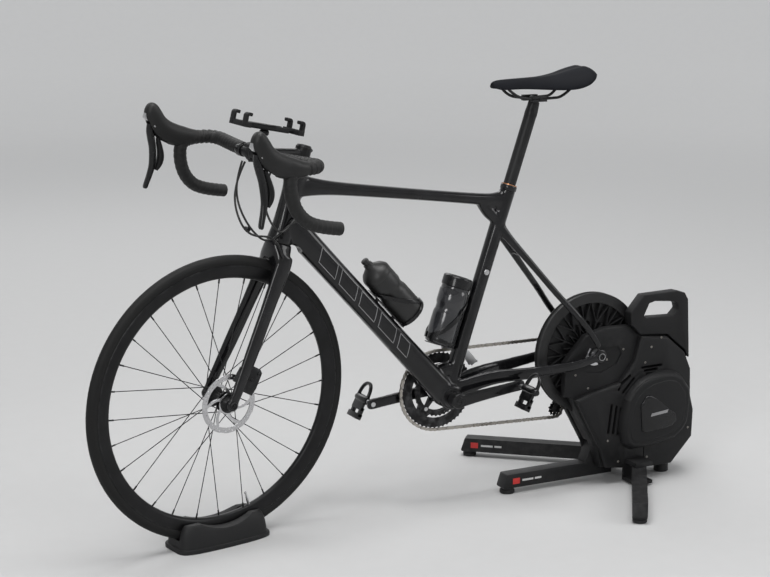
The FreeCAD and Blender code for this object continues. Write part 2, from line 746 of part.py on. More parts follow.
def seatpost():
    post = rod(on_seat(SEAT_TUBE_LENGTH - 190), on_seat(POST_TOP - 26), POST_R)
    head = saddle_clamp()
    neck = skin([oval(on_seat(POST_TOP - 27), SEAT_DIR, 2 * POST_R - 1, 2 * POST_R - 1),
                 oval(head - V(0, 0, 13), V(0, 0, 1), 30, 24)])
    yoke = disc(head, 8, -16, 16)
    return post.multiFuse([neck, yoke, box(head - V(10, 12, 14), head + V(10, 12, 0))])


def saddle_section(x, low, high, half):
    """A rounded cross section of the padding at one place along it."""
    return oval(V(x, 0, (low + high) / 2), V(1, 0, 0), high - low, 2 * half, 2.6)


def saddle_pad():
    head = saddle_clamp()
    nose = head.x - 0.45 * SADDLE_LENGTH
    top = head.z
    table = [(0.0, 38, 54, 10), (0.06, 32, 60, 18), (0.3, 40, 63, 21), (0.5, 42, 64, 31), (0.7, 44, 70, 54),
             (0.88, 47, 82, 70), (0.96, 50, 86, 70), (1.0, 58, 82, 62)]
    sections = [saddle_section(nose + place * SADDLE_LENGTH, top + low, top + high, half)
                for place, low, high, half in table]
    return skin(sections, True)


def saddle_rails():
    head = saddle_clamp()
    side = V(0, RAIL_Y, 0)
    nose = head.x - 0.45 * SADDLE_LENGTH
    points = [V(nose + 38, 0, head.z + 30), V(nose + 62, 0, head.z + 9), V(nose + 96, 0, head.z + 2),
              V(head.x + 62, 0, head.z + 2), V(head.x + 104, 0, head.z + 30)]
    rail = bent_tube([point + side for point in points], RAIL_R)
    clamp = box(head + V(-20, 12.4, -6), head + V(20, 27, 10)).cut(rail)
    whole = [rail.cut(saddle_pad()), clamp.cut(disc(head, 8 + SHAFT_FIT, 0, 30))]
    return Part.makeCompound([solid for one in whole for solid in pair(one).Solids])


# ---- Fork, stem and bars (straight ahead) ----------------------------------------------------

def fork():
    crown = on_steerer(HEAD_FROM_AXLE - 1)
    steerer = rod(crown - STEER_DIR * 24, on_steerer(STEM_TOP - 3), STEERER_R)
    race = rod(crown - STEER_DIR * 24, crown, HEAD_R)
    table = [(0.0, 0.93, 38, 23, CROWN_HALF), (0.1, 0.9, 40, 20, 34), (0.35, 0.7, 34, 17, 41),
             (0.65, 0.46, 32, 15, 49), (0.95, 0.0, 24, FORK_END_THICK, FORK_IN + 6),
             (1.0, -0.1, 20, FORK_END_THICK, FORK_IN + 6)]
    start = crown - STEER_DIR * 12
    run = FRONT - start
    back = V(math.sin(HEAD), 0, -math.cos(HEAD))
    points = []
    for place, bow, _, _, y in table:
        points.append(start + run * place + back * (bow * 9) + V(0, y, 0))
    one = stay(points, [(deep, wide) for _, _, deep, wide, _ in table])
    block = skin([oval(crown - STEER_DIR * 1, STEER_DIR, 2 * HEAD_R, 2 * HEAD_R, 2.2),
                  oval(crown - STEER_DIR * 14, STEER_DIR, 46, 2 * CROWN_HALF + 14, 2.6),
                  oval(crown - STEER_DIR * 34, STEER_DIR, 38, 2 * CROWN_HALF + 20, 3)])
    end = disc(FRONT, 14, FORK_IN, FORK_IN + FORK_END_THICK)
    whole = steerer.multiFuse([race, block, one, mirrored(one), end, mirrored(end)])
    whole = whole.cut(disc(FRONT, TYRE_R + 6, -20, 20)).cut(disc(FRONT, 60, -FORK_IN, FORK_IN))
    outside = FORK_IN + FORK_END_THICK
    seats = [disc(FRONT, AXLE_R + 8, side * outside, side * (outside + 12)) for side in (-1, 1)]
    return whole.cut(seats[0]).cut(seats[1]).cut(disc(FRONT, AXLE_R, -90, 90))


def headset_spacers():
    outer = rod(on_steerer(HEAD_TOP + 1), on_steerer(HEAD_TOP + STEM_RISE - 0.2), HEAD_R - 3)
    spacer = outer.cut(rod(on_steerer(HEAD_TOP), on_steerer(STEM_TOP), STEERER_R))
    cap = rod(on_steerer(STEM_TOP), on_steerer(STEM_TOP + 5), STEERER_R + 3)
    return Part.makeCompound([spacer, cap])


def bar_centre():
    """The middle of the handlebar clamp."""
    middle = on_steerer(STEM_TOP - STEM_HEIGHT / 2)
    return middle + V(-STEM_LENGTH, 0, STEM_LENGTH * math.tan(math.radians(4.5)))


def stem():
    middle = on_steerer(STEM_TOP - STEM_HEIGHT / 2)
    clamp = bar_centre()
    shell = rod(on_steerer(STEM_TOP - STEM_HEIGHT), on_steerer(STEM_TOP), STEERER_R + 4.5)
    beam = straight_tube(middle, clamp, [(0, 29, 30), (0.5, 31, 31), (0.82, 33, 36), (1, 34, 40)], 2.6)
    face = disc(clamp, BAR_CLAMP_R + 5.5, -22, 22)
    whole = shell.multiFuse([beam, face])
    whole = whole.cut(rod(on_steerer(HEAD_TOP), on_steerer(STEM_TOP + 60), STEERER_R))
    return whole.cut(disc(clamp, BAR_CLAMP_R, -60, 60))


def bar_points():
    """The right half of the handlebar: top, shoulder, ramp, hook and drop."""
    c = bar_centre()
    return [c + V(0, 20, 0), c + V(0, 168, 2), c + V(-22, HOOD_Y - 10, 12),
            c + V(-BAR_REACH + 4, HOOD_Y, 8), c + V(-BAR_REACH + 1, HOOD_Y + 4, -40),
            c + V(-BAR_REACH + 20, HOOD_Y + 7, -88), c + V(-BAR_REACH + 62, DROP_Y - 2, -BAR_DROP + 8),
            c + V(50, DROP_Y, -BAR_DROP - 2)]


def handlebar():
    c = bar_centre()
    half = bent_tube(bar_points(), BAR_R)
    bulge = disc(c, BAR_CLAMP_R, -58, 58)
    return bulge.multiFuse([half, mirrored(half)])


def hood_shape():
    """The rubber covered lever body on one side, from the bar to its horn."""
    c = bar_centre()
    y = HOOD_Y
    back = V(1, 0, 0)
    places = [(c + V(-34, y, 14), 36, 34, back), (c + V(-62, y + 1, 14), 46, 38, back),
              (c + V(-96, y, 22), 50, 36, V(1, 0, -0.15)), (c + V(-128, y - 1, 38), 46, 34, V(1, 0, -0.45)),
              (c + V(-150, y - 2, 66), 42, 32, V(1, 0, -0.5)),
              (c + V(-164, y - 2, 78), 22, 22, V(1, 0, -0.5))]
    sections = [oval(centre, along, deep, wide, 2.4) for centre, deep, wide, along in places]
    return skin(sections)


def tape_solid():
    points = bar_points()
    start = points[0] + V(0, TAPE_START - 20, 0)
    return bent_tube([start] + points[1:], TAPE_R)


def bar_tape():
    one = tape_solid().cut(bent_tube(bar_points(), BAR_R)).cut(hood_shape())
    solids = sorted(one.Solids, key=lambda solid: -solid.Volume)
    return Part.makeCompound([pair(solid) for solid in solids if solid.Volume > 500])


def lever_pivot():
    """The brake lever's hinge on the right side, straight ahead."""
    return bar_centre() + V(-152, HOOD_Y - 2, 46)


def lever_hoods():
    pivot = lever_pivot()
    outline = [(-40, -60), (-40, 11), (11, 11), (14, -8), (30, -24), (44, -30), (44, -60)]
    slot = slab([(pivot.x + x, pivot.z + z) for x, z in outline], pivot.y - 10.5, pivot.y + 10.5)
    one = hood_shape().cut(bent_tube(bar_points(), BAR_R)).cut(slot)
    pin = disc(pivot, 2.5, pivot.y - 15, pivot.y + 15)
    return pair(one.fuse(pin))


def lever_blade():
    """A brake lever on the right side, hanging from its hinge."""
    p = lever_pivot()
    outline = [(-9, 7), (3, 8), (8, 0), (4, -20), (12, -44), (18, -80), (10, -112), (2, -134), (-2, -150),
               (-10, -150), (-12, -134), (-6, -104), (-4, -70), (-10, -40), (-14, -16)]
    blade = slab([(p.x + x, p.z + z) for x, z in outline], p.y - 8, p.y + 8)
    return blade.cut(disc(p, 2.5 + SHAFT_FIT, p.y - 20, p.y + 20))


def shift_paddle():
    """A shift paddle behind the lever on the right side."""
    p = lever_pivot()
    outline = [(19, -53), (27, -55), (34, -78), (30, -88), (22, -104), (17, -108), (20, -92), (21.5, -78)]
    blade = slab([(p.x + x, p.z + z) for x, z in outline], p.y - 10, p.y + 4)
    hinge = paddle_pivot()
    return blade.fuse(rod(hinge - V(4.5, 0, 0), hinge + V(4.5, 0, 0), 3.5))


def paddle_pivot():
    return lever_pivot() + V(23, 0, -56)


def phone_holder():
    """A tilted cradle above the stem, with a clamp on the bar and two fixed front hooks."""
    c = bar_centre() + V(14, 0, 58)
    plate = box(V(-86, -22, -5), V(50, 22, 5))
    hooks = [cradle_hook(-88, y) for y in (-33, 19)]
    bar = box(V(-86, -33, -5), V(-72, 33, 5))
    whole = plate.multiFuse([bar] + hooks)
    whole = whole.cut(box(V(-8, -12, -2.5), V(80, 12, 2.5)))
    whole.rotate(V(0, 0, 0), V(0, 1, 0), 12)
    whole.translate(c)
    post = rod(c + V(-14, 0, -40), c + V(-8, 0, -3), 9)
    post = post.cut(disc(bar_centre(), BAR_CLAMP_R + 6.5, -40, 40))
    strap = ring(bar_centre(), BAR_CLAMP_R, BAR_CLAMP_R + 4.5, 24, 40)
    arm = box(bar_centre() + V(-9, 10, 17.5), bar_centre() + V(9, 40, 24))
    arm = arm.cut(disc(bar_centre(), BAR_CLAMP_R + 1, 0, 60))
    arm = arm.cut(disc(bar_centre(), BAR_CLAMP_R + 6, -30, 22.2))
    return whole.multiFuse([post, strap, arm])


def cradle_hook(x, y):
    """One bent finger of the cradle."""
    up = box(V(x, y, -5), V(x + 6, y + 14, 22))
    lip = box(V(x, y, 16), V(x + 14, y + 14, 22))
    return up.fuse(lip)


def phone_jaw():
    """The sliding end of the cradle, with two more fingers and a flat tongue."""
    c = bar_centre() + V(14, 0, 58)
    tongue = box(V(15, -11.7, -2.2), V(84, 11.7, 2.2))
    bar = box(V(74, -33, -5), V(88, 33, 5))
    hooks = []
    for y in (-33, 19):
        hook = cradle_hook(-88, y).mirror(V(0, 0, 0), V(1, 0, 0))
        hooks.append(hook)
    whole = tongue.multiFuse([bar] + hooks)
    whole.rotate(V(0, 0, 0), V(0, 1, 0), 12)
    whole.translate(c)
    return whole


def front_caliper():
    """A flat mount caliper behind the left fork leg, round the rotor's edge."""
    centre = FRONT + V(50, 0, 50)
    body = box(V(-21, -FORK_IN - 5, -33), V(21, -ROTOR_Y + 11, 33))
    body = body.cut(box(V(-40, -ROTOR_Y - 3, -50), V(40, -ROTOR_Y + 3, 22)))
    body.rotate(V(0, 0, 0), V(0, 1, 0), 30)
    body.translate(centre)
    slot = disc(FRONT, ROTOR_R + 2, -ROTOR_Y - 2.5, -ROTOR_Y + 2.5)
    pad = box(V(-46, -FORK_IN - 5, -12), V(-12, -FORK_IN + 3, 24))
    pad.rotate(V(0, 0, 0), V(0, 1, 0), 20)
    pad.translate(centre)
    whole = body.cut(slot).fuse(pad.cut(disc(FRONT, 60, -FORK_IN + 0.1, 0)))
    return whole.cut(fork())


def front_axle():
    shaft = disc(FRONT, AXLE_R, -FORK_IN - FORK_END_THICK - 1, FORK_IN + FORK_END_THICK)
    head = disc(FRONT, 9, -FORK_IN - FORK_END_THICK - 4, -FORK_IN - FORK_END_THICK)
    return shaft.fuse(head)


# ---- Front wheel (straight ahead) --------------------------------------------------------------

def spun(points):
    """A ring about the front axle from an outline of (radius, y) points."""
    corners = [FRONT + V(0, y, radius) for radius, y in points]
    wire = Part.makePolygon(corners + corners[:1])
    return Part.Face(wire).revolve(FRONT, V(0, 1, 0), 360)


def front_rim():
    w = RIM_HALF
    outer = spun([(RIM_IN_R, -5), (RIM_IN_R + 6, -w), (RIM_OUT_R, -w), (RIM_OUT_R, w), (RIM_IN_R + 6, w),
                  (RIM_IN_R, 5)])
    return outer.cut(spun([(RIM_OUT_R - 6, -w + RIM_WALL), (RIM_OUT_R + 5, -w + RIM_WALL),
                           (RIM_OUT_R + 5, w - RIM_WALL), (RIM_OUT_R - 6, w - RIM_WALL)]))


def front_tyre():
    torus = Part.makeTorus(TYRE_MID_R, TYRE_SECTION_R, FRONT, V(0, 1, 0))
    inner = Part.makeTorus(TYRE_MID_R, TYRE_SECTION_R - 2.5, FRONT, V(0, 1, 0))
    w = RIM_HALF
    seat = spun([(RIM_OUT_R - 30, -w), (RIM_OUT_R, -w), (RIM_OUT_R, w), (RIM_OUT_R - 30, w)])
    gap = spun([(RIM_OUT_R - 30, -w + 3), (RIM_OUT_R + 6, -w + 3), (RIM_OUT_R + 6, w - 3),
                (RIM_OUT_R - 30, w - 3)])
    return torus.cut(inner).cut(seat).cut(gap)


def front_hub():
    shell = disc(FRONT, HUB_R, -HUB_HALF, HUB_HALF)
    flanges = [disc(FRONT, FLANGE_R, side * FLANGE_Y - 1.6, side * FLANGE_Y + 1.6) for side in (-1, 1)]
    seat = disc(FRONT, 19, -ROTOR_Y + ROTOR_HALF, -FLANGE_Y + 1)
    return shell.multiFuse(flanges + [seat]).cut(disc(FRONT, AXLE_R + SHAFT_FIT, -90, 90))


def front_spokes():
    wires = []
    for index in range(SPOKES):
        side = 1 if index % 2 else -1
        lean = math.radians(58 if (index // 2) % 2 else -58)
        place = 2 * math.pi * index / SPOKES
        hub_angle = place + lean
        flange = FLANGE_R - 0.4
        y = side * FLANGE_Y + 0.6 * (index // 2 % 2)
        start = FRONT + V(flange * math.cos(hub_angle), y, flange * math.sin(hub_angle))
        end_r = RIM_IN_R + 0.5
        end = FRONT + V(end_r * math.cos(place), side * 2.5, end_r * math.sin(place))
        wires.append(rod(start, end, SPOKE_R))
    return Part.makeCompound(wires)


def front_rotor():
    whole = ring(FRONT, 56, ROTOR_R, -ROTOR_Y - ROTOR_HALF, -ROTOR_Y + ROTOR_HALF)
    hub = ring(FRONT, HUB_R, 24, -ROTOR_Y - ROTOR_HALF, -ROTOR_Y + ROTOR_HALF)
    arms = []
    for step in range(6):
        angle = math.radians(60 * step)
        arm = Part.makeBox(36, 2 * ROTOR_HALF, 6, V(22, -ROTOR_Y - ROTOR_HALF, -3))
        arm.rotate(V(0, 0, 0), V(0, 1, 0), -math.degrees(angle))
        arm.translate(FRONT)
        arms.append(arm)
    return whole.multiFuse([hub] + arms)


# ---- Hoses -------------------------------------------------------------------------------------

def hose_routes():
    """Routes of the loops in front of the head tube, straight ahead."""
    c = bar_centre()
    port = on_steerer(HEAD_FROM_AXLE + 44) + V(32, -21, 2)
    far = [c + V(-12, 62, -22), c + V(-34, 52, -62), c + V(-48, 24, -112), c + V(-30, -6, -170),
           c + V(8, -24, -204), port + V(-24, -10, 12), port]
    near = [c + V(-10, -60, -20), c + V(-24, -56, -58), c + V(-22, -50, -108), c + V(0, -44, -152),
            c + V(34, -40, -182), port + V(-16, -12, 22), port + V(4, 0, 9)]
    return far, near


def brake_hose_front():
    c = bar_centre()
    crown = on_steerer(HEAD_FROM_AXLE - 1)
    points = [c + V(-12, 50, -22), c + V(-44, 40, -66), c + V(-60, 16, -122), c + V(-44, -14, -180),
              crown + V(-34, -34, 24), crown + V(-16, -44, -18), crown + V(-6, -38, -50)]
    return bent_tube(points, HOSE_R).cut(fork())


# ---- Trainer -------------------------------------------------------------------------------------

SHELL = [(-90, 335), (-90, 244), (-73, 242), (7, 99), (24, 43), (134, 27), (235, 26), (303, 94), (305, 172),
         (294, 212), (291, 285), (270, 332), (212, 380), (128, 388), (104, 412), (28, 413), (-30, 398)]
RAISED = [(-66, 238), (8, 102), (27, 46), (135, 30), (234, 29), (299, 96), (301, 170), (290, 210), (287, 283),
          (267, 328), (210, 376), (130, 384), (112, 322), (70, 268), (-20, 252)]
HANDLE = [(100, 395), (97, 447), (135, 490), (238, 492), (263, 485), (274, 467), (283, 310), (236, 350)]
HANDLE_HOLE = [(137, 435), (153, 467), (171, 471), (230, 465), (242, 456), (245, 443), (229, 427), (146, 430)]


def trainer_cover_left():
    low = hollow_slab(SHELL, -50, -3, COVER_WALL)
    high = hollow_slab(RAISED, -70, -49, COVER_WALL)
    whole = low.cut(offset_slab(RAISED, -COVER_WALL, -51, -46)).fuse(high)
    whole = whole.cut(disc(REAR, DISC_R + 3, -30, 0))
    whole = whole.cut(disc(REAR, 15 + 1, -80, 0)).cut(disc(MOTOR, FLYWHEEL_R + 2, -80, 0))
    return whole.cut(lower_clear())


def offset_slab(points, by, y0, y1):
    """A plate cut to an outline that is drawn in or out by a margin."""
    corners = [V(x, y0, z) for x, z in points]
    face = Part.Face(Part.makePolygon(corners + corners[:1])).makeOffset2D(by)
    return face.extrude(V(0, y1 - y0, 0))


def lower_clear():
    """The space of the leg brackets and the centre leg, which the covers stay clear of."""
    block = box(V(LEG_PIVOT_X - 31, -100, 0), V(LEG_PIVOT_X + 31, 100, 100))
    return block.fuse(box(V(-300, -LEG_WIDE / 2 - 1, 0), V(80, LEG_WIDE / 2 + 1, 112)))


def trainer_cover_right():
    tray = hollow_slab(SHELL, 30, 11, COVER_WALL)
    return tray.cut(disc(REAR, 70, 0, 40)).cut(lower_clear())


def motor_cover():
    centre = MOTOR
    shell = disc(centre, MOTOR_COVER_R, -92, -70.2).cut(disc(centre, FLYWHEEL_R + 2, -89, -60))
    boss = [(-26, 40), (2, 52), (50, -16), (40, -36), (-20, -50), (-26, -40)]
    cap = slab([(centre.x + x, centre.z + z) for x, z in boss], -98, -91)
    return shell.fuse(cap)


def leg_bracket():
    """The two lugs, wall and pin that hold the right leg."""
    outer = LEG_PIVOT_Y + 24
    top = LEG_TOP + 12
    low_lug = box(V(LEG_PIVOT_X - 26, 60, 5), V(LEG_PIVOT_X + 26, outer, 14))
    high_lug = box(V(LEG_PIVOT_X - 26, 60, LEG_TOP + 0.6), V(LEG_PIVOT_X + 26, outer, top))
    wall = box(V(LEG_PIVOT_X - 26, 56, 5), V(LEG_PIVOT_X + 26, 62, 60))
    pin = rod(V(LEG_PIVOT_X, LEG_PIVOT_Y, 5), V(LEG_PIVOT_X, LEG_PIVOT_Y, top), LEG_SHAFT_R)
    return low_lug.multiFuse([high_lug, wall, pin])


def trainer_chassis():
    plate = offset_slab(SHELL, -5, -1, 10)
    rear = box(V(196, -27, 100), V(252, 10, 320)).cut(disc(REAR, DISC_R + 6, -40, -0.9))
    rear = rear.cut(disc(MOTOR, FLYWHEEL_R + 3, -80, -20)).cut(disc(MOTOR, 26, -30, -0.9))
    base = box(V(LEG_PIVOT_X - 30, -68, 42), V(LEG_PIVOT_X + 30, 68, 96))
    whole = plate.multiFuse([rear, base])
    whole = whole.fuse(leg_bracket()).fuse(mirrored(leg_bracket()))
    whole = whole.cut(disc(REAR, 16 + SHAFT_FIT, -40, 40)).cut(disc(MOTOR, 8 + SHAFT_FIT, -100, 40))
    return whole.cut(box(V(-300, -LEG_WIDE / 2, 0), V(81, LEG_WIDE / 2, 112)))


def trainer_handle():
    face = slab(HANDLE, -62, -32).cut(slab(HANDLE_HOLE, -70, -20))
    inside = slab(SHELL, -71, 0)
    return face.cut(inside).cut(disc(REAR, DISC_R + 3, -30, 0))


def cover_screws():
    screws = []
    for x, z in ((62, 396), (48, 372), (84, 352), (34, 330), (-60, 300), (-48, 268)):
        screws.append(disc(V(x, 0, z), 2.6, -51.2, -50))
    for x, z in ((30, 120), (284, 170), (282, 118), (64, 60), (240, 40), (262, 300)):
        screws.append(disc(V(x, 0, z), 2.6, -71.2, -70))
    return Part.makeCompound(screws)


def drive_pulley():
    corners = [(17, DISC_IN), (DISC_R, DISC_IN), (DISC_R, DISC_IN + 3), (BELT_SEAT_R, DISC_IN + 4),
               (BELT_SEAT_R, DISC_OUT - 4), (DISC_R, DISC_OUT - 3), (DISC_R, DISC_OUT), (128, DISC_OUT),
               (128, DISC_OUT - 14), (40, DISC_OUT - 14), (30, DISC_OUT), (17, DISC_OUT)]
    points = [REAR + V(0, y, radius) for radius, y in corners]
    web = Part.Face(Part.makePolygon(points + points[:1])).revolve(REAR, V(0, 1, 0), 360)
    sleeve = disc(REAR, 16, DISC_IN - 3, COG_Y + 6)
    whole = web.fuse(sleeve).fuse(ring(REAR, 15, 18, DISC_IN, DISC_OUT))
    return whole.cut(disc(REAR, AXLE_R + SHAFT_FIT, -80, 80))


def cassette():
    cogs = []
    for index, teeth in enumerate(COG_TEETH):
        y = COG_Y - index * COG_PITCH
        cogs.append(sprocket(REAR, teeth, y))
        if index + 1 < len(COG_TEETH):
            cogs.append(disc(REAR, 21, y - COG_PITCH + TOOTH_HALF, y - TOOTH_HALF))
    lock = disc(REAR, 19, COG_Y + TOOTH_HALF, COG_Y + 4)
    return cogs[0].multiFuse(cogs[1:] + [lock]).cut(disc(REAR, 16, 0, 90))


def flywheel():
    rim = disc(MOTOR, FLYWHEEL_R, -87, -36)
    shaft = disc(MOTOR, 8, -36, 9)
    small = disc(MOTOR, 18, DISC_IN + 4.6, DISC_OUT - 4.6)
    return rim.multiFuse([shaft, small])


def drive_belt():
    """A flat belt round the disc's seat and the flywheel's small pulley, just clear of both."""
    loops = []
    for extra in (0.35, 0.35 + BELT_THICK):
        big = BELT_SEAT_R + extra
        small = 18 + extra
        a0, b0 = tangent(REAR, big, MOTOR, small, 1, False)
        a1, b1 = tangent(REAR, big, MOTOR, small, -1, False)
        away = (REAR - MOTOR)
        away.normalize()
        edges = [Part.Arc(a1, REAR + away * big, a0).toShape(), Part.LineSegment(a0, b0).toShape(),
                 Part.Arc(b0, MOTOR - away * small, b1).toShape(), Part.LineSegment(b1, a1).toShape()]
        loops.append(Part.Face(Part.Wire(edges)))
    band = loops[1].cut(loops[0])
    band.translate(V(0, DISC_IN + 5, 0))
    return band.extrude(V(0, DISC_OUT - DISC_IN - 10, 0))


def centre_leg():
    half = LEG_WIDE / 2
    nose = CENTRE_FOOT_X - 22
    beam = slab([(nose - 6, LEG_BASE), (nose + 6, LEG_TOP), (80, LEG_TOP), (80, LEG_BASE)], -half, half)
    upright = slab([(-4, LEG_TOP), (22, 110), (56, 110), (30, LEG_TOP)], -half, half)
    return beam.fuse(upright)


def foot(x, y, top):
    return Part.makeCylinder(FOOT_R, top, V(x, y, 0))


def centre_feet():
    return Part.makeCompound([foot(CENTRE_FOOT_X, 0, LEG_BASE), foot(REAR_FOOT_X, REAR_FOOT_Y, 30).cut(
        offset_slab(SHELL, 0, -71, 31))])


def side_leg(length, angle, side):
    """A folding leg, swung out from its pivot, with its rubber foot."""
    half = LEG_WIDE / 2
    base = LEG_BASE
    beam = slab([(-length - 20, base), (-length - 10, LEG_TOP), (0, LEG_TOP), (0, base)], -half, half)
    knuckle = Part.makeCylinder(half, LEG_TOP - base, V(0, 0, base))
    pad = Part.makeCylinder(FOOT_R - 1, base, V(-length, 0, 0))
    metal = beam.fuse(knuckle).cut(Part.makeCylinder(LEG_SHAFT_R + SHAFT_FIT, 200, V(0, 0, -50)))
    whole = Part.makeCompound([metal, pad])
    whole.rotate(V(0, 0, 0), V(0, 0, 1), -side * angle)
    whole.translate(V(LEG_PIVOT_X, side * LEG_PIVOT_Y, 0))
    return whole


# ---- Riser block (straight ahead) ------------------------------------------------------------

def block_level(corners, shrink, z):
    """The block's outline at a height, drawn in by a share."""
    points = [V(corner.x * (1 - shrink * 0.5), corner.y * (1 - shrink), z) for corner in corners]
    return Part.makePolygon(points + points[:1])


def riser_block():
    half = BLOCK_HALF
    low = [V(-BLOCK_FRONT, -half + 6, 0), V(-20, -half - 4, 0), V(BLOCK_REAR, -half + 6, 0),
           V(BLOCK_REAR, half - 6, 0), V(-20, half + 4, 0), V(-BLOCK_FRONT, half - 6, 0)]
    flange = Part.Face(block_level(low, 0, 0)).extrude(V(0, 0, 10))
    levels = [(0.08, 10), (0.14, 40), (0.3, BLOCK_HIGH)]
    body = skin([block_level(low, shrink, z) for shrink, z in levels], True)
    block = flange.fuse(body)
    block.translate(V(FRONT.x, 0, 0))
    cradle = disc(FRONT, TYRE_R + RUN_CLEAR, -GROOVE_HALF, GROOVE_HALF)
    dip = Part.makeCylinder(150, 200, V(FRONT.x, -100, 196), V(0, 1, 0))
    return block.cut(cradle).cut(dip)


# ---- Naming, turning and writing --------------------------------------------------------------

def as_is(shape):
    return shape


def steered(shape):
    """Turn a straight ahead piece to where the bars rest."""
    copy = shape.copy()
    copy.rotate(STEER_FOOT, STEER_DIR, STEER_REST)
    return copy


def block_turned(shape):
    """Turn the block about the upright line through the steering axis at the floor."""
    copy = shape.copy()
    copy.rotate(BLOCK_PIVOT, V(0, 0, 1), STEER_REST * math.sin(HEAD))
    return copy


def control_hoses():
    hole = main_frame()
    hole.rotate(STEER_FOOT, STEER_DIR, -STEER_REST)
    return Part.makeCompound([bent_tube(route, HOSE_R).cut(hole) for route in hose_routes()])


def nodes():
    """Each named piece with how it is placed."""
    lists = {
        as_is: [main_frame, chainstays, seatstays, headset_bearings, bottom_bracket_cups, rear_axle,
                bottle_cages, bottle, canister, chain, front_derailleur, rear_derailleur,
                crank_arm_left, crank_arm_right, chainrings, chainring_bolts, pedal_spindles,
                seatpost, saddle_pad, saddle_rails, trainer_cover_left, trainer_cover_right,
                motor_cover, trainer_chassis, trainer_handle, cover_screws, drive_pulley, cassette,
                flywheel, drive_belt, centre_leg, centre_feet],
        steered: [fork, headset_spacers, stem, handlebar, bar_tape, lever_hoods, phone_holder,
                  phone_jaw, front_caliper, front_axle, front_rim, front_tyre, front_hub,
                  front_spokes, front_rotor, brake_hose_front, control_hoses],
        block_turned: [riser_block],
    }
    for place, makers in lists.items():
        for maker in makers:
            yield maker.__name__, place(maker())
    yield "jockey_upper", jockey(UPPER_JOCKEY)
    yield "jockey_lower", jockey(LOWER_JOCKEY)
    yield "pedal_left", pedal(LEFT_EYE, -1)
    yield "pedal_right", pedal(RIGHT_EYE, 1)
    yield "brake_lever_right", steered(lever_blade())
    yield "brake_lever_left", steered(mirrored(lever_blade()))
    yield "shift_paddle_right", steered(shift_paddle())
    yield "shift_paddle_left", steered(mirrored(shift_paddle()))
    yield "leg_right", side_leg(RIGHT_LEG_LENGTH, RIGHT_LEG_ANGLE, 1)
    yield "leg_left", side_leg(LEFT_LEG_LENGTH, LEFT_LEG_ANGLE, -1)


def main():
    os.makedirs("parts", exist_ok=True)
    for name, shape in nodes():
        shape.translate(V(REAR_AXLE_X, 0, 0))
        shape.exportStep("parts/%s.step" % name)
        print("%-22s solids %3d  valid %s" % (name, len(shape.Solids), shape.isValid()))


main()
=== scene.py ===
import json
import math

import bmesh
import bpy
from mathutils import Matrix, Quaternion, Vector


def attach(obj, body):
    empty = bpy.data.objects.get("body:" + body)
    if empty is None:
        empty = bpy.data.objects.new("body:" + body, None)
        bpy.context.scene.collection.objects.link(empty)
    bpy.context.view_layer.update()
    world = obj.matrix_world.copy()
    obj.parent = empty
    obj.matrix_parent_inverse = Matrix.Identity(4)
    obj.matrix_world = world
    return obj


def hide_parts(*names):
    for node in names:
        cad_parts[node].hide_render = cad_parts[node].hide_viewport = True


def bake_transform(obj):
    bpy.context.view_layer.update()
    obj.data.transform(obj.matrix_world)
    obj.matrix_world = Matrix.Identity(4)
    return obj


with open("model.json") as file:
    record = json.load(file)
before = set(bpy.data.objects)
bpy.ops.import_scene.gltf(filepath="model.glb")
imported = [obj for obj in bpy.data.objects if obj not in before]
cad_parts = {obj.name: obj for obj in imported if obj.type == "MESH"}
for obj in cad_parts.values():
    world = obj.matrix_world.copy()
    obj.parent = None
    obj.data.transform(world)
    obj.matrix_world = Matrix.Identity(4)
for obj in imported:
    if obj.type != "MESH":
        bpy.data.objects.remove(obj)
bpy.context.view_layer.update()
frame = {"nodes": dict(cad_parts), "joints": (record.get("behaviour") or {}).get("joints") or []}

bl_info = {
    "name": "Road bicycle on an indoor trainer",
    "version": (1, 0, 0),
    "blender": (4, 5, 0),
    "location": "View3D > Sidebar > Bicycle",
    "description": "Builds the finished pieces of a road bicycle on a direct-drive trainer",
    "category": "Add Mesh",
}

# ---- Layout, in millimetres, from the rear axle's foot on the floor --------------------------
# Pieces of the front end are laid out straight ahead, and turned with the bars at the end.

JOINTS = {joint["name"]: joint for joint in frame["joints"]}
AXLE_X = JOINTS["trainer_drive_spin"]["pos_m"][0] * 1000


FIXED = "frame_and_trainer"
ORIGIN = Vector((0, 0, 0))
ACROSS = Vector((0, 1, 0))
UPWARD = Vector((0, 0, 1))


def joint_at(name):
    """A hinge's place in the layout."""
    x, y, z = JOINTS[name]["pos_m"]
    return Vector((x * 1000 - AXLE_X, y * 1000, z * 1000))


STEER_REST = math.radians(10)
STEER_FOOT = joint_at("steering")
STEER_DIR = Vector(JOINTS["steering"]["axis"])
STEER_TURN = Quaternion(STEER_DIR, STEER_REST)


def straight(point):
    """Where a resting point of the front end lies straight ahead."""
    return STEER_FOOT + STEER_TURN.inverted() @ (point - STEER_FOOT)


REAR = joint_at("trainer_drive_spin")
FRONT = straight(joint_at("front_wheel_spin"))
BB = joint_at("crank_spin")
MOTOR = joint_at("flywheel_spin")
LEFT_EYE = joint_at("pedal_left_spin")
RIGHT_EYE = joint_at("pedal_right_spin")
UPPER_JOCKEY = joint_at("jockey_upper_spin")
LOWER_JOCKEY = joint_at("jockey_lower_spin")
LEVER = straight(joint_at("brake_lever_right_pull"))
BLOCK_PIVOT = joint_at("riser_turn")
SADDLE_CLAMP = joint_at("saddle_tilt")
SEAT_DIR = Vector(JOINTS["seatpost_height"]["axis"])
BAR = LEVER + Vector((152, -230, -46))
HEAD_FROM_AXLE = 384.0
HEAD_LENGTH = 164.0
HEAD_TOP = HEAD_FROM_AXLE + HEAD_LENGTH
STEM_TOP = HEAD_TOP + 62.0
SEAT_TUBE_LENGTH = 528.0
SEATSTAY_DOWN = 98.0
TYRE_R = 339.0
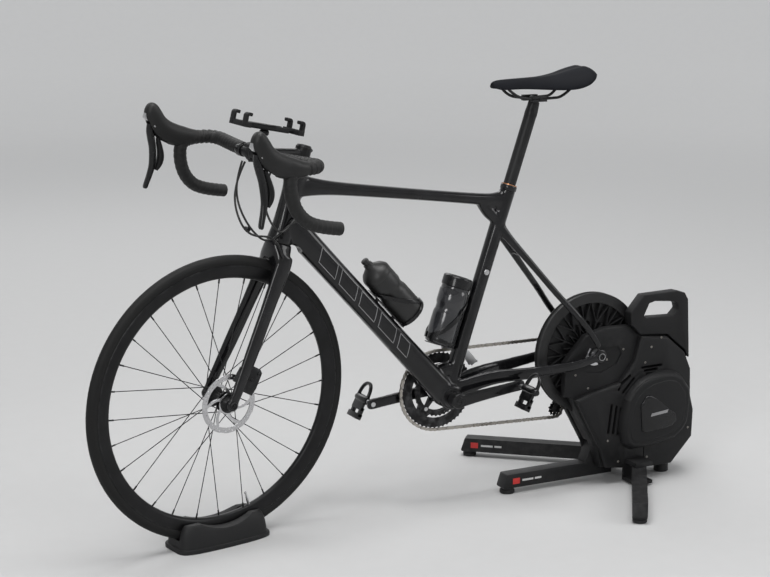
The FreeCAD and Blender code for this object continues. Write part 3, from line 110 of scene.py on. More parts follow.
RIM_IN_R = 285.5
HOOD_Y = 232.0
DROP_Y = 244.0
BAR_REACH = 78.0
BAR_DROP = 126.0
DISC_R = 155.0
CHAIN_PITCH = 12.7
RING_TEETH = 50
INNER_TEETH = 34
COG_TEETH = (13, 14, 15, 16, 17, 18, 19, 21, 23, 25, 28)
COG_PITCH = 3.95
RING_Y = 47.0
RING_GAP = 6.5
COG_Y = 58.0
JOCKEY_TEETH = 11
CRANK_TURN = math.radians(6.2)


def on_steerer(distance):
    return STEER_FOOT + STEER_DIR * distance


def on_seat(distance):
    return BB + SEAT_DIR * distance


def pitch_radius(teeth):
    return CHAIN_PITCH / (2 * math.sin(math.pi / teeth))


# ---- Shells: (points, faces) pairs in the layout -----------------------------------------------

def loft(rings, caps=True):
    """A skin through closed rings of points."""
    count = len(rings[0])
    points = [point for ring in rings for point in ring]
    faces = []
    for row in range(len(rings) - 1):
        for step in range(count):
            a = row * count + step
            b = row * count + (step + 1) % count
            faces.append((a, b, b + count, a + count))
    if caps:
        faces.append(tuple(range(count - 1, -1, -1)))
        last = (len(rings) - 1) * count
        faces.append(tuple(range(last, last + count)))
    return points, faces


def oval(centre, along, deep, wide, power=2.0, count=32, side=ACROSS):
    """A rounded ring, deep across the run and wide to the side."""
    up = along.cross(side).normalized()
    ring = []
    for step in range(count):
        angle = 2 * math.pi * step / count
        c, s = math.cos(angle), math.sin(angle)
        c = math.copysign(abs(c) ** (2 / power), c)
        s = math.copysign(abs(s) ** (2 / power), s)
        ring.append(centre + up * (deep / 2 * c) + side * (wide / 2 * s))
    return ring


def smooth_rows(rows, parts):
    """Rows of numbers, filled in between with a smooth curve through them."""
    filled = []
    for index in range(len(rows) - 1):
        p0 = rows[max(index - 1, 0)]
        p1, p2 = rows[index], rows[index + 1]
        p3 = rows[min(index + 2, len(rows) - 1)]
        for part in range(parts):
            t = part / parts
            filled.append(tuple(
                0.5 * (2 * b + (c - a) * t + (2 * a - 5 * b + 4 * c - d) * t * t
                       + (3 * b - a - 3 * c + d) * t ** 3) for a, b, c, d in zip(p0, p1, p2, p3)))
    filled.append(tuple(rows[-1]))
    return filled


def moulded(rows, parts=6, power=2.0, count=32):
    """A tube through (x, y, z, deep, wide) rows, rounded across and smooth along."""
    full = smooth_rows(rows, parts)
    rings = []
    for index, (x, y, z, deep, wide) in enumerate(full):
        before = Vector(full[max(index - 1, 0)][:3])
        after = Vector(full[min(index + 1, len(full) - 1)][:3])
        along = after - before
        rings.append(oval(Vector((x, y, z)), Vector((along.x, 0, along.z)), deep, wide, power, count))
    return loft(rings)


def lathe(centre, axis, profile, steps=48, ring=False):
    """A turned body: (along, radius) pairs about an axis."""
    axis = axis.normalized()
    side = axis.orthogonal().normalized()
    other = axis.cross(side)
    rings = []
    for step in range(steps):
        angle = 2 * math.pi * step / steps
        out = side * math.cos(angle) + other * math.sin(angle)
        rings.append([centre + axis * along + out * radius for along, radius in profile])
    points = [point for row in rings for point in row]
    count = len(profile)
    faces = []
    for step in range(steps):
        nxt = (step + 1) % steps
        for row in range(count if ring else count - 1):
            a, b = row, (row + 1) % count
            faces.append((step * count + a, step * count + b, nxt * count + b, nxt * count + a))
    return points, faces


def rod(start, end, radius, steps=20, chamfer=0.0):
    """A round bar with softened ends."""
    length = (end - start).length
    edge = chamfer or min(0.12 * radius, 0.3 * length)
    profile = [(0, 0), (0, radius - edge), (edge, radius), (length - edge, radius),
               (length, radius - edge), (length, 0)]
    return lathe(start, end - start, profile, steps)


def disc(centre, radius, y0, y1, steps=48):
    return rod(Vector((centre.x, y0, centre.z)), Vector((centre.x, y1, centre.z)), radius, steps)


def washer(centre, inner, outer, y0, y1, steps=64, edge=0.6):
    """A flat ring about an axis along Y, with softened edges."""
    e = min(edge, abs(y1 - y0) / 3)
    profile = [(y0, inner + e), (y0, outer - e), (y0 + e, outer), (y1 - e, outer), (y1, outer - e),
               (y1, inner + e), (y1 - e, inner), (y0 + e, inner)]
    base = Vector((centre.x, 0, centre.z))
    return lathe(base, ACROSS, profile, steps, ring=True)


def plate(outline, y0, y1, holes=()):
    """A flat plate in the XZ plane, with holes, between two Y places."""
    bm = bmesh.new()
    for loop in (outline, *holes):
        corners = [bm.verts.new((x, y0, z)) for x, z in loop]
        for a, b in zip(corners, corners[1:] + corners[:1]):
            bm.edges.new((a, b))
    bmesh.ops.triangle_fill(bm, use_beauty=True, use_dissolve=False, edges=bm.edges[:])
    top = bmesh.ops.extrude_face_region(bm, geom=bm.faces[:])
    moved = [item for item in top["geom"] if isinstance(item, bmesh.types.BMVert)]
    bmesh.ops.translate(bm, vec=(0, y1 - y0, 0), verts=moved)
    bm.verts.index_update()
    points = [vert.co.copy() for vert in bm.verts]
    faces = [tuple(vert.index for vert in face.verts) for face in bm.faces]
    bm.free()
    return points, faces


def block(low, high):
    """A box between two corners."""
    x0, y0, z0 = low
    x1, y1, z1 = high
    return plate([(x0, z0), (x1, z0), (x1, z1), (x0, z1)], y0, y1)


def circle(cx, cz, radius, count=24):
    """Points of a round outline."""
    return [(cx + radius * math.cos(2 * math.pi * step / count),
             cz + radius * math.sin(2 * math.pi * step / count)) for step in range(count)]


def outline_at(centre, pairs):
    """An XZ outline set out about a place."""
    return [(centre.x + x, centre.z + z) for x, z in pairs]


def points_at(base, triples):
    """Points set out from a base."""
    return [base + Vector(triple) for triple in triples]


def rows_at(base, rows):
    """Rows of (x, y, z, deep, wide) set out from a base."""
    return [(*(base + Vector(row[:3])), *row[3:]) for row in rows]


def eased_path(points, steps=8):
    """A smooth line drawn towards its control points, through its two ends."""
    middles = [(a + b) / 2 for a, b in zip(points, points[1:])]
    starts = [points[0]] + middles[1:-1] + [points[-1]]
    line = []
    for start, corner, end in zip(starts, points[1:-1], starts[1:]):
        for step in range(steps):
            t = step / steps
            line.append(start * (1 - t) ** 2 + corner * (2 * t * (1 - t)) + end * t * t)
    return line + [points[-1]]


def even_path(points, gap):
    """The same line with its points a fixed distance apart."""
    spots = [points[0]]
    left = gap
    for start, end in zip(points, points[1:]):
        length = (end - start).length
        walked = 0.0
        while length - walked >= left:
            walked += left
            spots.append(start.lerp(end, walked / length))
            left = gap
        left -= length - walked
    if (spots[-1] - points[-1]).length > gap * 0.3:
        spots.append(points[-1])
    return spots


def tube(points, radius, sides=12):
    """A tube along a line; the radius is a number, or a function of (place, share, angle)."""
    rings = []
    along = (points[1] - points[0]).normalized()
    up = along.orthogonal().normalized()
    walked = 0.0
    total = sum((b - a).length for a, b in zip(points, points[1:]))
    for index, point in enumerate(points):
        before = points[max(index - 1, 0)]
        after = points[min(index + 1, len(points) - 1)]
        new_along = (after - before).normalized()
        up = (along.rotation_difference(new_along) @ up).normalized()
        along = new_along
        side = along.cross(up)
        if index:
            walked += (point - points[index - 1]).length
        ring = []
        for step in range(sides):
            angle = 2 * math.pi * step / sides
            r = radius(walked, walked / total, angle) if callable(radius) else radius
            ring.append(point + (up * math.cos(angle) + side * math.sin(angle)) * r)
        rings.append(ring)
    return loft(rings)


def band(points, wide, thick, wides=None):
    """A flat strip along a line, wide along the given direction at each point."""
    rings = []
    for index, point in enumerate(points):
        before = points[max(index - 1, 0)]
        after = points[min(index + 1, len(points) - 1)]
        along = (after - before).normalized()
        side = wides(index) if wides else ACROSS
        side = (side - along * side.dot(along)).normalized()
        up = along.cross(side)
        rings.append(oval(point, along, thick, wide, 5, 16, side))
    return loft(rings)


def moved(shell, change):
    """A shell with each point passed through a function."""
    return [change(point) for point in shell[0]], shell[1]


def tilted(shell, centre, degrees, axis=ACROSS):
    """A shell turned about an axis through a point."""
    spin = Quaternion(axis, math.radians(degrees))
    return moved(shell, lambda point: centre + spin @ (point - centre))


def flipped(shell):
    """The mirror image of a shell, on the other side of the bicycle."""
    points = [Vector((point.x, -point.y, point.z)) for point in shell[0]]
    return points, [tuple(reversed(face)) for face in shell[1]]


def both(shells):
    """Shells and their mirror images."""
    return list(shells) + [flipped(shell) for shell in shells]


# ---- Turning shells into finished pieces -------------------------------------------------------

def rough_object(name, shells):
    """One object made of closed shells, in metres, still in the straight ahead layout."""
    bm = bmesh.new()
    for points, faces in shells:
        made = [bm.verts.new(Vector(point) / 1000) for point in points]
        for face in faces:
            corners = [made[index] for index in face]
            if len(set(corners)) > 2:
                bm.faces.new(corners)
    bmesh.ops.remove_doubles(bm, verts=bm.verts[:], dist=2e-6)
    bmesh.ops.dissolve_degenerate(bm, dist=1e-6, edges=bm.edges[:])
    bmesh.ops.recalc_face_normals(bm, faces=bm.faces[:])
    mesh = bpy.data.meshes.new(name)
    bm.to_mesh(mesh)
    bm.free()
    piece = bpy.data.objects.new(name, mesh)
    bpy.context.scene.collection.objects.link(piece)
    return piece


def settle(piece):
    """Apply every modifier, so that the piece is a plain mesh."""
    graph = bpy.context.evaluated_depsgraph_get()
    graph.update()
    mesh = bpy.data.meshes.new_from_object(piece.evaluated_get(graph))
    piece.modifiers.clear()
    piece.data = mesh
    return piece


def bevelled(piece, width, segments=2, angle=35):
    """Soften the edges that are sharper than an angle."""
    modifier = piece.modifiers.new("Bevel", "BEVEL")
    modifier.width = width / 1000
    modifier.segments = segments
    modifier.limit_method = "ANGLE"
    modifier.angle_limit = math.radians(angle)
    modifier.harden_normals = False
    return settle(piece)


def melted(piece, voxel, passes, grow=0.0):
    """Join overlapping shells into one skin with flowing junctions."""
    remesh = piece.modifiers.new("Remesh", "REMESH")
    remesh.mode = "VOXEL"
    remesh.voxel_size = voxel / 1000
    smooth = piece.modifiers.new("Smooth", "SMOOTH")
    smooth.factor = 0.5
    smooth.iterations = passes
    if grow:
        displace = piece.modifiers.new("Grow", "DISPLACE")
        displace.mid_level = 0.0
        displace.strength = grow / 1000
    return settle(piece)


def cut_out(piece, shells):
    """Cut closed shells out of a piece."""
    tool = rough_object("cutter", shells)
    modifier = piece.modifiers.new("Cut", "BOOLEAN")
    modifier.operation = "DIFFERENCE"
    modifier.solver = "EXACT"
    modifier.use_self = True
    modifier.object = tool
    settle(piece)
    bpy.data.objects.remove(tool)
    return piece


def place_shift():
    return Matrix.Translation((AXLE_X / 1000, 0, 0))


def place_steered():
    foot = STEER_FOOT / 1000
    turn = Matrix.Translation(foot) @ STEER_TURN.to_matrix().to_4x4() @ Matrix.Translation(-foot)
    return place_shift() @ turn


def resting_place(body):
    """Where a body's pieces rest: those of the front end turn with the bars."""
    turns = body.startswith(("steering", "front_wheel", "phone_jaw", "brake_lever", "shift_paddle"))
    return place_steered() if turns else place_shift()


def place_block():
    pivot = BLOCK_PIVOT / 1000
    turn = Matrix.Rotation(STEER_REST * STEER_DIR.z, 4, "Z")
    return place_shift() @ Matrix.Translation(pivot) @ turn @ Matrix.Translation(-pivot)


def finish_piece(piece, material, body, replaced=(), sharp=38, place=None):
    """Give a piece its finish, its place, its body and the nodes it stands for."""
    piece.data.transform(place or resting_place(body))
    piece.data.materials.clear()
    piece.data.materials.append(material)
    piece.data.shade_smooth()
    piece.data.set_sharp_from_angle(angle=math.radians(sharp))
    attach(piece, body)
    if replaced:
        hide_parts(*replaced)
    return piece


def piece_of(name, shells, material, body, replaced=(), bevel=0.0, sharp=38, place=None):
    """A finished piece straight from its shells."""
    piece = rough_object(name, shells)
    if bevel:
        bevelled(piece, bevel)
    return finish_piece(piece, material, body, replaced, sharp, place)


# ---- Geometry node trees for what repeats ------------------------------------------------------

def wired(name, inputs, kinds, wires):
    """A geometry node tree, made once from its inputs, its nodes and the wires between them."""
    if name in bpy.data.node_groups:
        return bpy.data.node_groups[name]
    tree = bpy.data.node_groups.new(name, "GeometryNodeTree")
    for label, kind in (("Geometry", "Geometry"), *inputs, ("Finish", "Material")):
        tree.interface.new_socket(label, in_out="INPUT", socket_type="NodeSocket" + kind)
    tree.interface.new_socket("Geometry", in_out="OUTPUT", socket_type="NodeSocketGeometry")
    kinds = {"given": ("NodeGroupInput", {}), **kinds, "instance": ("GeometryNodeInstanceOnPoints", {}),
             "realize": ("GeometryNodeRealizeInstances", {}), "dress": ("GeometryNodeSetMaterial", {}),
             "result": ("NodeGroupOutput", {})}
    wires = (*wires, ("spots", 0, "instance", "Points"), ("instance", 0, "realize", 0),
             ("realize", 0, "dress", "Geometry"), ("given", "Finish", "dress", "Material"),
             ("dress", 0, "result", 0))
    nodes = {}
    for label, (kind, settings) in kinds.items():
        nodes[label] = tree.nodes.new(kind)
        for key, value in settings.items():
            setattr(nodes[label], key, value)
    for start, leaving, end, entering in wires:
        if start == "value":
            nodes[end].inputs[entering].default_value = leaving
        else:
            tree.links.new(nodes[start].outputs[leaving], nodes[end].inputs[entering])
    return tree


def copies_tree():
    """Copies of a piece, each turned and shifted a step further, with one finish."""
    inputs = (("Count", "Int"), ("Centre", "Vector"), ("Turn Each", "Vector"), ("Shift Each", "Vector"))
    scale = ("ShaderNodeVectorMath", {"operation": "SCALE"})
    kinds = {"index": ("GeometryNodeInputIndex", {}), "turn": scale, "shift": scale, "back": scale,
             "place": ("ShaderNodeVectorMath", {"operation": "ADD"}),
             "centred": ("GeometryNodeTransform", {}), "spots": ("GeometryNodePoints", {})}
    wires = (("given", "Turn Each", "turn", 0), ("index", 0, "turn", "Scale"),
             ("given", "Shift Each", "shift", 0), ("index", 0, "shift", "Scale"),
             ("given", "Centre", "place", 0), ("shift", 0, "place", 1), ("given", "Centre", "back", 0),
             ("value", -1.0, "back", "Scale"),
             ("given", "Geometry", "centred", "Geometry"), ("back", 0, "centred", "Translation"),
             ("given", "Count", "spots", "Count"), ("place", 0, "spots", "Position"),
             ("centred", 0, "instance", "Instance"), ("turn", 0, "instance", "Rotation"))
    return wired("step_and_repeat", inputs, kinds, wires)


def inputs_of(tree):
    """Each input's identifier by its name."""
    return {item.name: item.identifier for item in tree.interface.items_tree
            if item.item_type == "SOCKET" and item.in_out == "INPUT"}


def repeated(piece, count, centre, turn=(0, 0, 0), shift=(0, 0, 0), finish=None):
    """A piece repeated about a centre, as a plain mesh."""
    tree = copies_tree()
    modifier = piece.modifiers.new("Repeat", "NODES")
    modifier.node_group = tree
    names = inputs_of(tree)
    modifier[names["Count"]] = count
    modifier[names["Centre"]] = tuple(Vector(centre) / 1000)
    modifier[names["Turn Each"]] = tuple(turn)
    modifier[names["Shift Each"]] = tuple(Vector(shift) / 1000)
    modifier[names["Finish"]] = finish
    return settle(piece)


def links_tree():
    """A link set down on each point, turned by the angles that the points carry."""
    kinds = {"one": ("GeometryNodeObjectInfo", {}), "spots": ("GeometryNodeMeshToPoints", {}),
             "turn": ("GeometryNodeInputNamedAttribute", {"data_type": "FLOAT_VECTOR"})}
    wires = (("given", "Geometry", "spots", "Mesh"), ("given", "Link", "one", "Object"),
             ("one", "Geometry", "instance", "Instance"), ("value", "link_turn", "turn", "Name"),
             ("turn", "Attribute", "instance", "Rotation"))
    return wired("links_on_points", (("Link", "Object"),), kinds, wires)


def links_on(name, spots, turns, link_shells, finish):
    """Copies of one link on many spots, each turned about Y by its own angle."""
    one = rough_object("one_link", link_shells)
    mesh = bpy.data.meshes.new(name)
    mesh.from_pydata([spot / 1000 for spot in spots], [], [])
    angles = mesh.attributes.new("link_turn", "FLOAT_VECTOR", "POINT")
    for index, angle in enumerate(turns):
        angles.data[index].vector = (0, angle, 0)
    piece = bpy.data.objects.new(name, mesh)
    bpy.context.scene.collection.objects.link(piece)
    tree = links_tree()
    modifier = piece.modifiers.new("Links", "NODES")
    modifier.node_group = tree
    names = inputs_of(tree)
    modifier[names["Link"]] = one
    modifier[names["Finish"]] = finish
    settle(piece)
    bpy.data.objects.remove(one)
    return piece


# ---- Shared shader effects ---------------------------------------------------------------------

def effect(name, inputs, outputs):
    """An empty shader group with named sockets."""
    tree = bpy.data.node_groups.new(name, "ShaderNodeTree")
    for label, kind, value in inputs:
        tree.interface.new_socket(label, in_out="INPUT", socket_type=kind).default_value = value
    for label, kind in outputs:
        tree.interface.new_socket(label, in_out="OUTPUT", socket_type=kind)
    return tree, tree.nodes.new("NodeGroupInput"), tree.nodes.new("NodeGroupOutput")


def noise_in(tree, scale, detail=3.0):
    """Noise on the piece's own coordinates."""
    place = tree.nodes.new("ShaderNodeTexCoord")
    noise = tree.nodes.new("ShaderNodeTexNoise")
    noise.inputs["Detail"].default_value = detail
    tree.links.new(place.outputs["Object"], noise.inputs["Vector"])
    if isinstance(scale, (int, float)):
        noise.inputs["Scale"].default_value = scale
    else:
        tree.links.new(scale, noise.inputs["Scale"])
    return noise.outputs["Fac"]


def arithmetic(tree, operation, first, second):
    node = tree.nodes.new("ShaderNodeMath")
    node.operation = operation
    node.use_clamp = operation == "MULTIPLY"
    for socket, value in zip(node.inputs, (first, second)):
        if isinstance(value, (int, float)):
            socket.default_value = value
        else:
            tree.links.new(value, socket)
    return node.outputs[0]


def spread(tree, value, low, high, start=0.0, end=1.0):
    """A value mapped from one range to another, and held inside it."""
    node = tree.nodes.new("ShaderNodeMapRange")
    node.inputs["From Min"].default_value = low
    node.inputs["From Max"].default_value = high
    node.inputs["To Min"].default_value = start
    node.inputs["To Max"].default_value = end
    tree.links.new(value, node.inputs["Value"])
    return node.outputs["Result"]


def mixed(tree, share, first, second):
    """A blend of two colours by a share."""
    node = tree.nodes.new("ShaderNodeMix")
    node.data_type = "RGBA"
    tree.links.new(share, node.inputs["Factor"])
    tree.links.new(first, node.inputs["A"])
    tree.links.new(second, node.inputs["B"])
    return node.outputs["Result"]


def masked(tree, given, result, mask, other):
    """A group's outputs: its colour blended to the other by a mask, and the mask."""
    tree.links.new(mixed(tree, mask, given.outputs["Colour"], given.outputs[other]), result.inputs["Colour"])
    tree.links.new(mask, result.inputs["Mask"])
    return tree


def edge_wear_effect():
    """Corners rubbed to a lighter colour, in patches."""
    tree, given, result = effect("edge_wear", [
        ("Colour", "NodeSocketColor", (0, 0, 0, 1)), ("Worn Colour", "NodeSocketColor", (0.1, 0.1, 0.1, 1)),
        ("Amount", "NodeSocketFloat", 0.5)], [("Colour", "NodeSocketColor"), ("Mask", "NodeSocketFloat")])
    shape = tree.nodes.new("ShaderNodeNewGeometry")
    corner = spread(tree, shape.outputs["Pointiness"], 0.53, 0.62)
    patch = spread(tree, noise_in(tree, 60.0), 0.4, 0.65)
    mask = arithmetic(tree, "MULTIPLY", arithmetic(tree, "MULTIPLY", corner, patch), given.outputs["Amount"])
    return masked(tree, given, result, mask, "Worn Colour")


def dust_effect():
    """A little dust on what faces up."""
    tree, given, result = effect("settled_dust", [
        ("Colour", "NodeSocketColor", (0, 0, 0, 1)), ("Dust Colour", "NodeSocketColor", (0.3, 0.29, 0.27, 1)),
        ("Amount", "NodeSocketFloat", 0.05)], [("Colour", "NodeSocketColor"), ("Mask", "NodeSocketFloat")])
    shape = tree.nodes.new("ShaderNodeNewGeometry")
    parts = tree.nodes.new("ShaderNodeSeparateXYZ")
    tree.links.new(shape.outputs["Normal"], parts.inputs[0])
    facing = spread(tree, parts.outputs["Z"], 0.3, 1.0)
    patch = spread(tree, noise_in(tree, 14.0, 5.0), 0.35, 0.7)
    mask = arithmetic(tree, "MULTIPLY", arithmetic(tree, "MULTIPLY", facing, patch), given.outputs["Amount"])
    return masked(tree, given, result, mask, "Dust Colour")


def grain_effect():
    """Fine grain: it varies the tone and the roughness, and gives a height."""
    tree, given, result = effect("fine_grain", [
        ("Colour", "NodeSocketColor", (0, 0, 0, 1)), ("Light Colour", "NodeSocketColor", (0.1, 0.1, 0.1, 1)),
        ("Scale", "NodeSocketFloat", 900.0), ("Low Roughness", "NodeSocketFloat", 0.3),
        ("High Roughness", "NodeSocketFloat", 0.5)],
        [("Colour", "NodeSocketColor"), ("Roughness", "NodeSocketFloat"), ("Height", "NodeSocketFloat")])
    fine = noise_in(tree, given.outputs["Scale"], 2.0)
    broad = spread(tree, noise_in(tree, 22.0, 4.0), 0.3, 0.7)
    tree.links.new(mixed(tree, broad, given.outputs["Colour"], given.outputs["Light Colour"]),
                   result.inputs["Colour"])
    gap = arithmetic(tree, "SUBTRACT", given.outputs["High Roughness"], given.outputs["Low Roughness"])
    rise = arithmetic(tree, "MULTIPLY", gap, broad)
    tree.links.new(arithmetic(tree, "ADD", given.outputs["Low Roughness"], rise), result.inputs["Roughness"])
    tree.links.new(fine, result.inputs["Height"])
    return tree


def weave_effect():
    """A close over and under weave, as a height."""
    tree, given, result = effect("close_weave", [("Scale", "NodeSocketFloat", 300.0)],
                                 [("Height", "NodeSocketFloat")])
    place = tree.nodes.new("ShaderNodeTexCoord")
    waves = []
    for direction in ("X", "Z"):
        wave = tree.nodes.new("ShaderNodeTexWave")
        wave.bands_direction = direction
        tree.links.new(place.outputs["Object"], wave.inputs["Vector"])
        tree.links.new(given.outputs["Scale"], wave.inputs["Scale"])
        waves.append(wave.outputs["Fac"])
    tree.links.new(arithmetic(tree, "MULTIPLY", *waves), result.inputs["Height"])
    return tree


EFFECTS = {"edge_wear": edge_wear_effect, "settled_dust": dust_effect, "fine_grain": grain_effect,
           "close_weave": weave_effect}


# ---- Finishes ----------------------------------------------------------------------------------

def use_effect(material, name, **values):
    """Place a shared effect, made once, in a material with its own values."""
    node = material.node_tree.nodes.new("ShaderNodeGroup")
    node.node_tree = bpy.data.node_groups.get(name) or EFFECTS[name]()
    for label, value in values.items():
        node.inputs[label.replace("_", " ")].default_value = value
    return node


def opaque(colour):
    return (*colour[:3], 1.0)


def dressed(name, colour, light, rough, scale=900.0, bump=0.08, worn=None, wear=0.0, dusty=0.0,
            metal=0.0, coat=0.0, coat_rough=0.03, weave=0.0, specular=0.5):
    """A finish with grain, worn edges and dust, made once."""
    name = "finish_" + name
    if name in bpy.data.materials:
        return bpy.data.materials[name]
    material = bpy.data.materials.new(name)
    material.use_nodes = True
    links = material.node_tree.links
    shader = material.node_tree.nodes["Principled BSDF"]
    shader.inputs["Metallic"].default_value = metal
    shader.inputs["Coat Weight"].default_value = coat
    shader.inputs["Coat Roughness"].default_value = coat_rough
    shader.inputs["Specular IOR Level"].default_value = specular
    grain = use_effect(material, "fine_grain", Colour=opaque(colour), Light_Colour=opaque(light),
                       Scale=scale, Low_Roughness=rough[0], High_Roughness=rough[1])
    rubbed = use_effect(material, "edge_wear", Worn_Colour=opaque(worn or light), Amount=wear)
    dust = use_effect(material, "settled_dust", Amount=dusty)
    relief = material.node_tree.nodes.new("ShaderNodeBump")
    relief.inputs["Strength"].default_value = bump
    relief.inputs["Distance"].default_value = 0.0004
    links.new(grain.outputs["Colour"], rubbed.inputs["Colour"])
    links.new(rubbed.outputs["Colour"], dust.inputs["Colour"])
    links.new(dust.outputs["Colour"], shader.inputs["Base Color"])
    links.new(grain.outputs["Roughness"], shader.inputs["Roughness"])
    height = use_effect(material, "close_weave", Scale=weave) if weave else grain
    links.new(height.outputs["Height"], relief.inputs["Height"])
    links.new(relief.outputs["Normal"], shader.inputs["Normal"])
    material.diffuse_color = opaque(colour)
    return material


# Each finish: its name, a colour setting with a dark and a light share of it, or two colours, then
# its roughness range, grain scale, bump, worn colour, wear and dust, and what else it sets.
LOOKS = {
    "lacquer": ("clear_coated_black", "lacquer", 1, 3, (0.2, 0.28), 1400, 0.01, (0.05, 0.05, 0.05), 0.06,
                0.005, {"coat": 0.6, "coat_rough": 0.03, "specular": 0.12}),
    "satin_metal": ("anodised_black", "satin", 1, 1.6, (0.32, 0.42), 2600, 0.05, (0.3, 0.3, 0.31), 0.2,
                    0.01, {"metal": 0.55, "specular": 0.4}),
    "gloss_moulding": ("glossy_moulding", "lacquer", 1, 2.2, (0.2, 0.32), 700, 0.03, (0.08, 0.08, 0.08),
                       0.12, 0.01, {"coat": 0.3, "specular": 0.25}),
    "bare_metal": ("bare_aluminium", "silver", 0.8, 1, (0.24, 0.4), 2200, 0.06, None, 0, 0.02,
                   {"metal": 1.0}),
    "bright_steel": ("bright_steel", "silver", 0.75, 0.95, (0.18, 0.34), 3000, 0.04, None, 0, 0,
                     {"metal": 1.0}),
    "oiled_steel": ("oiled_steel", "chain", 0.6, 1, (0.3, 0.5), 1500, 0.08, (0.55, 0.54, 0.52), 0.6, 0,
                    {"metal": 0.95}),
    "polished_link": ("polished_link", "chain", 1, 1.35, (0.22, 0.36), 1500, 0.04, None, 0, 0,
                      {"metal": 0.95}),
    "painted_steel": ("satin_painted_steel", "satin", 1, 1.7, (0.38, 0.5), 1300, 0.06, (0.1, 0.1, 0.1),
                      0.12, 0.01, {"specular": 0.25}),
    "shell_plastic": ("textured_shell_plastic", "shell", 1, 1.35, (0.46, 0.6), 1500, 0.22,
                      (0.07, 0.07, 0.07), 0.15, 0.01, {"specular": 0.24}),
    "tyre_rubber": ("tyre_rubber", "rubber", 1, 1.5, (0.55, 0.72), 1100, 0.25, (0.07, 0.07, 0.068), 0.2,
                    0.02, {"specular": 0.22}),
    "grip_rubber": ("hood_rubber", "rubber", 1, 1.3, (0.42, 0.55), 900, 0.15, (0.06, 0.06, 0.06), 0.15,
                    0.015, {"specular": 0.35}),
    "wrapped_tape": ("wrapped_tape", "rubber", 1, 1.4, (0.5, 0.66), 1700, 0.2, (0.07, 0.07, 0.07), 0.35,
                     0.02, {"specular": 0.35}),
    "saddle_cover": ("saddle_cover", "saddle", 1, 1.35, (0.6, 0.72), 700, 0.25, (0.08, 0.08, 0.085), 0.1,
                     0.005, {"specular": 0.07}),
    "hose_jacket": ("hose_jacket", "rubber", 0.7, 1, (0.3, 0.4), 2400, 0.05, None, 0, 0.02, {}),
    # The belt disc's web is darker than the shell plastic of its ribs: painted shade for the recess behind
    # the ribs.
    "shaded_pocket_web": ("ribbed_disc_plastic", "shell", 0.7, 1, (0.4, 0.55), 1200, 0.1, None, 0, 0.03, {}),
    "carbon_weave": ("woven_carbon", "satin", 1, 1.8, (0.28, 0.38), 1200, 0.1, None, 0, 0,
                     {"weave": 260.0, "coat": 0.5}),
    "copper_line": ("copper_line", None, (0.45, 0.2, 0.09), (0.6, 0.3, 0.16), (0.25, 0.35), 2000, 0.03,
                    None, 0, 0, {"metal": 1.0}),
    "red_print": ("red_print", None, (0.5, 0.02, 0.02), (0.6, 0.04, 0.03), (0.4, 0.5), 1200, 0.05,
                  None, 0, 0, {}),
    "white_print": ("pale_print", None, (0.5, 0.5, 0.5), (0.62, 0.62, 0.62), (0.4, 0.5), 1200, 0.05,
                    None, 0, 0, {}),
    "silver_print": ("silver_print", "silver", 0.45, 0.6, (0.3, 0.42), 1800, 0.04, None, 0, 0,
                     {"metal": 0.8}),
    "soft_bottle": ("soft_bottle", "rubber", 1, 1.4, (0.36, 0.48), 600, 0.06, (0.08, 0.08, 0.08), 0.2,
                    0.04, {}),
    "smoked_plastic": ("smoked_plastic", None, (0.018, 0.018, 0.02), (0.035, 0.036, 0.04), (0.14, 0.24),
                       500, 0.03, (0.14, 0.14, 0.15), 0.3, 0.04, {}),
    "block_plastic": ("moulded_block", "shell", 1.1, 1.5, (0.5, 0.64), 800, 0.3, (0.08, 0.08, 0.08), 0.2,
                      0.03, {"specular": 0.3}),
}


def look(kind):
    """One of the finishes."""
    name, setting, dark, light, rough, scale, bump, worn, wear, dusty, extra = LOOKS[kind]
    if setting:
        base = getattr(bpy.context.scene.bicycle_colours, setting)
        dark, light = [dark * c for c in base], [light * c for c in base]
    return dressed(name, dark, light, rough, scale, bump, worn, wear, dusty, **extra)


def smoked_plastic():
    """Smoky see-through plastic over a dark inside."""
    material = look("smoked_plastic")
    shader = material.node_tree.nodes["Principled BSDF"]
    shader.inputs["Transmission Weight"].default_value = 0.25
    shader.inputs["Coat Weight"].default_value = 0.5
    return material


def studio_grey():
    shade = bpy.context.scene.bicycle_colours.floor
    material = dressed("studio_grey", shade, [1.02 * c for c in shade], (0.75, 0.8), 40, 0.0, specular=0.2)
    tree = material.node_tree
    place = tree.nodes.new("ShaderNodeTexCoord")
    level = tree.nodes.new("ShaderNodeVectorMath")
    level.operation = "MULTIPLY"
    level.inputs[1].default_value = (1, 1, 0.6)
    away = tree.nodes.new("ShaderNodeVectorMath")
    away.operation = "LENGTH"
    tree.links.new(place.outputs["Object"], level.inputs[0])
    tree.links.new(level.outputs["Vector"], away.inputs[0])
    glow = spread(tree, away.outputs["Value"], 1.6, 8.0, 0.0, bpy.context.scene.bicycle_studio.glow)
    shader = tree.nodes["Principled BSDF"]
    shader.inputs["Emission Color"].default_value = (0.98, 0.99, 1.0, 1.0)
    tree.links.new(glow, shader.inputs["Emission Strength"])
    return material


# ---- Frame and fork ----------------------------------------------------------------------------

def along_run(start, end, rows):
    """Rows of (share, deep, wide) set out along a straight run, for a moulded tube."""
    return [(*start.lerp(end, share), deep, wide) for share, deep, wide in rows]


DOWN_TOP = on_steerer(HEAD_FROM_AXLE + 55)
DOWN_DIR = (DOWN_TOP - BB).normalized()
SEAT_TOP = on_seat(SEAT_TUBE_LENGTH)


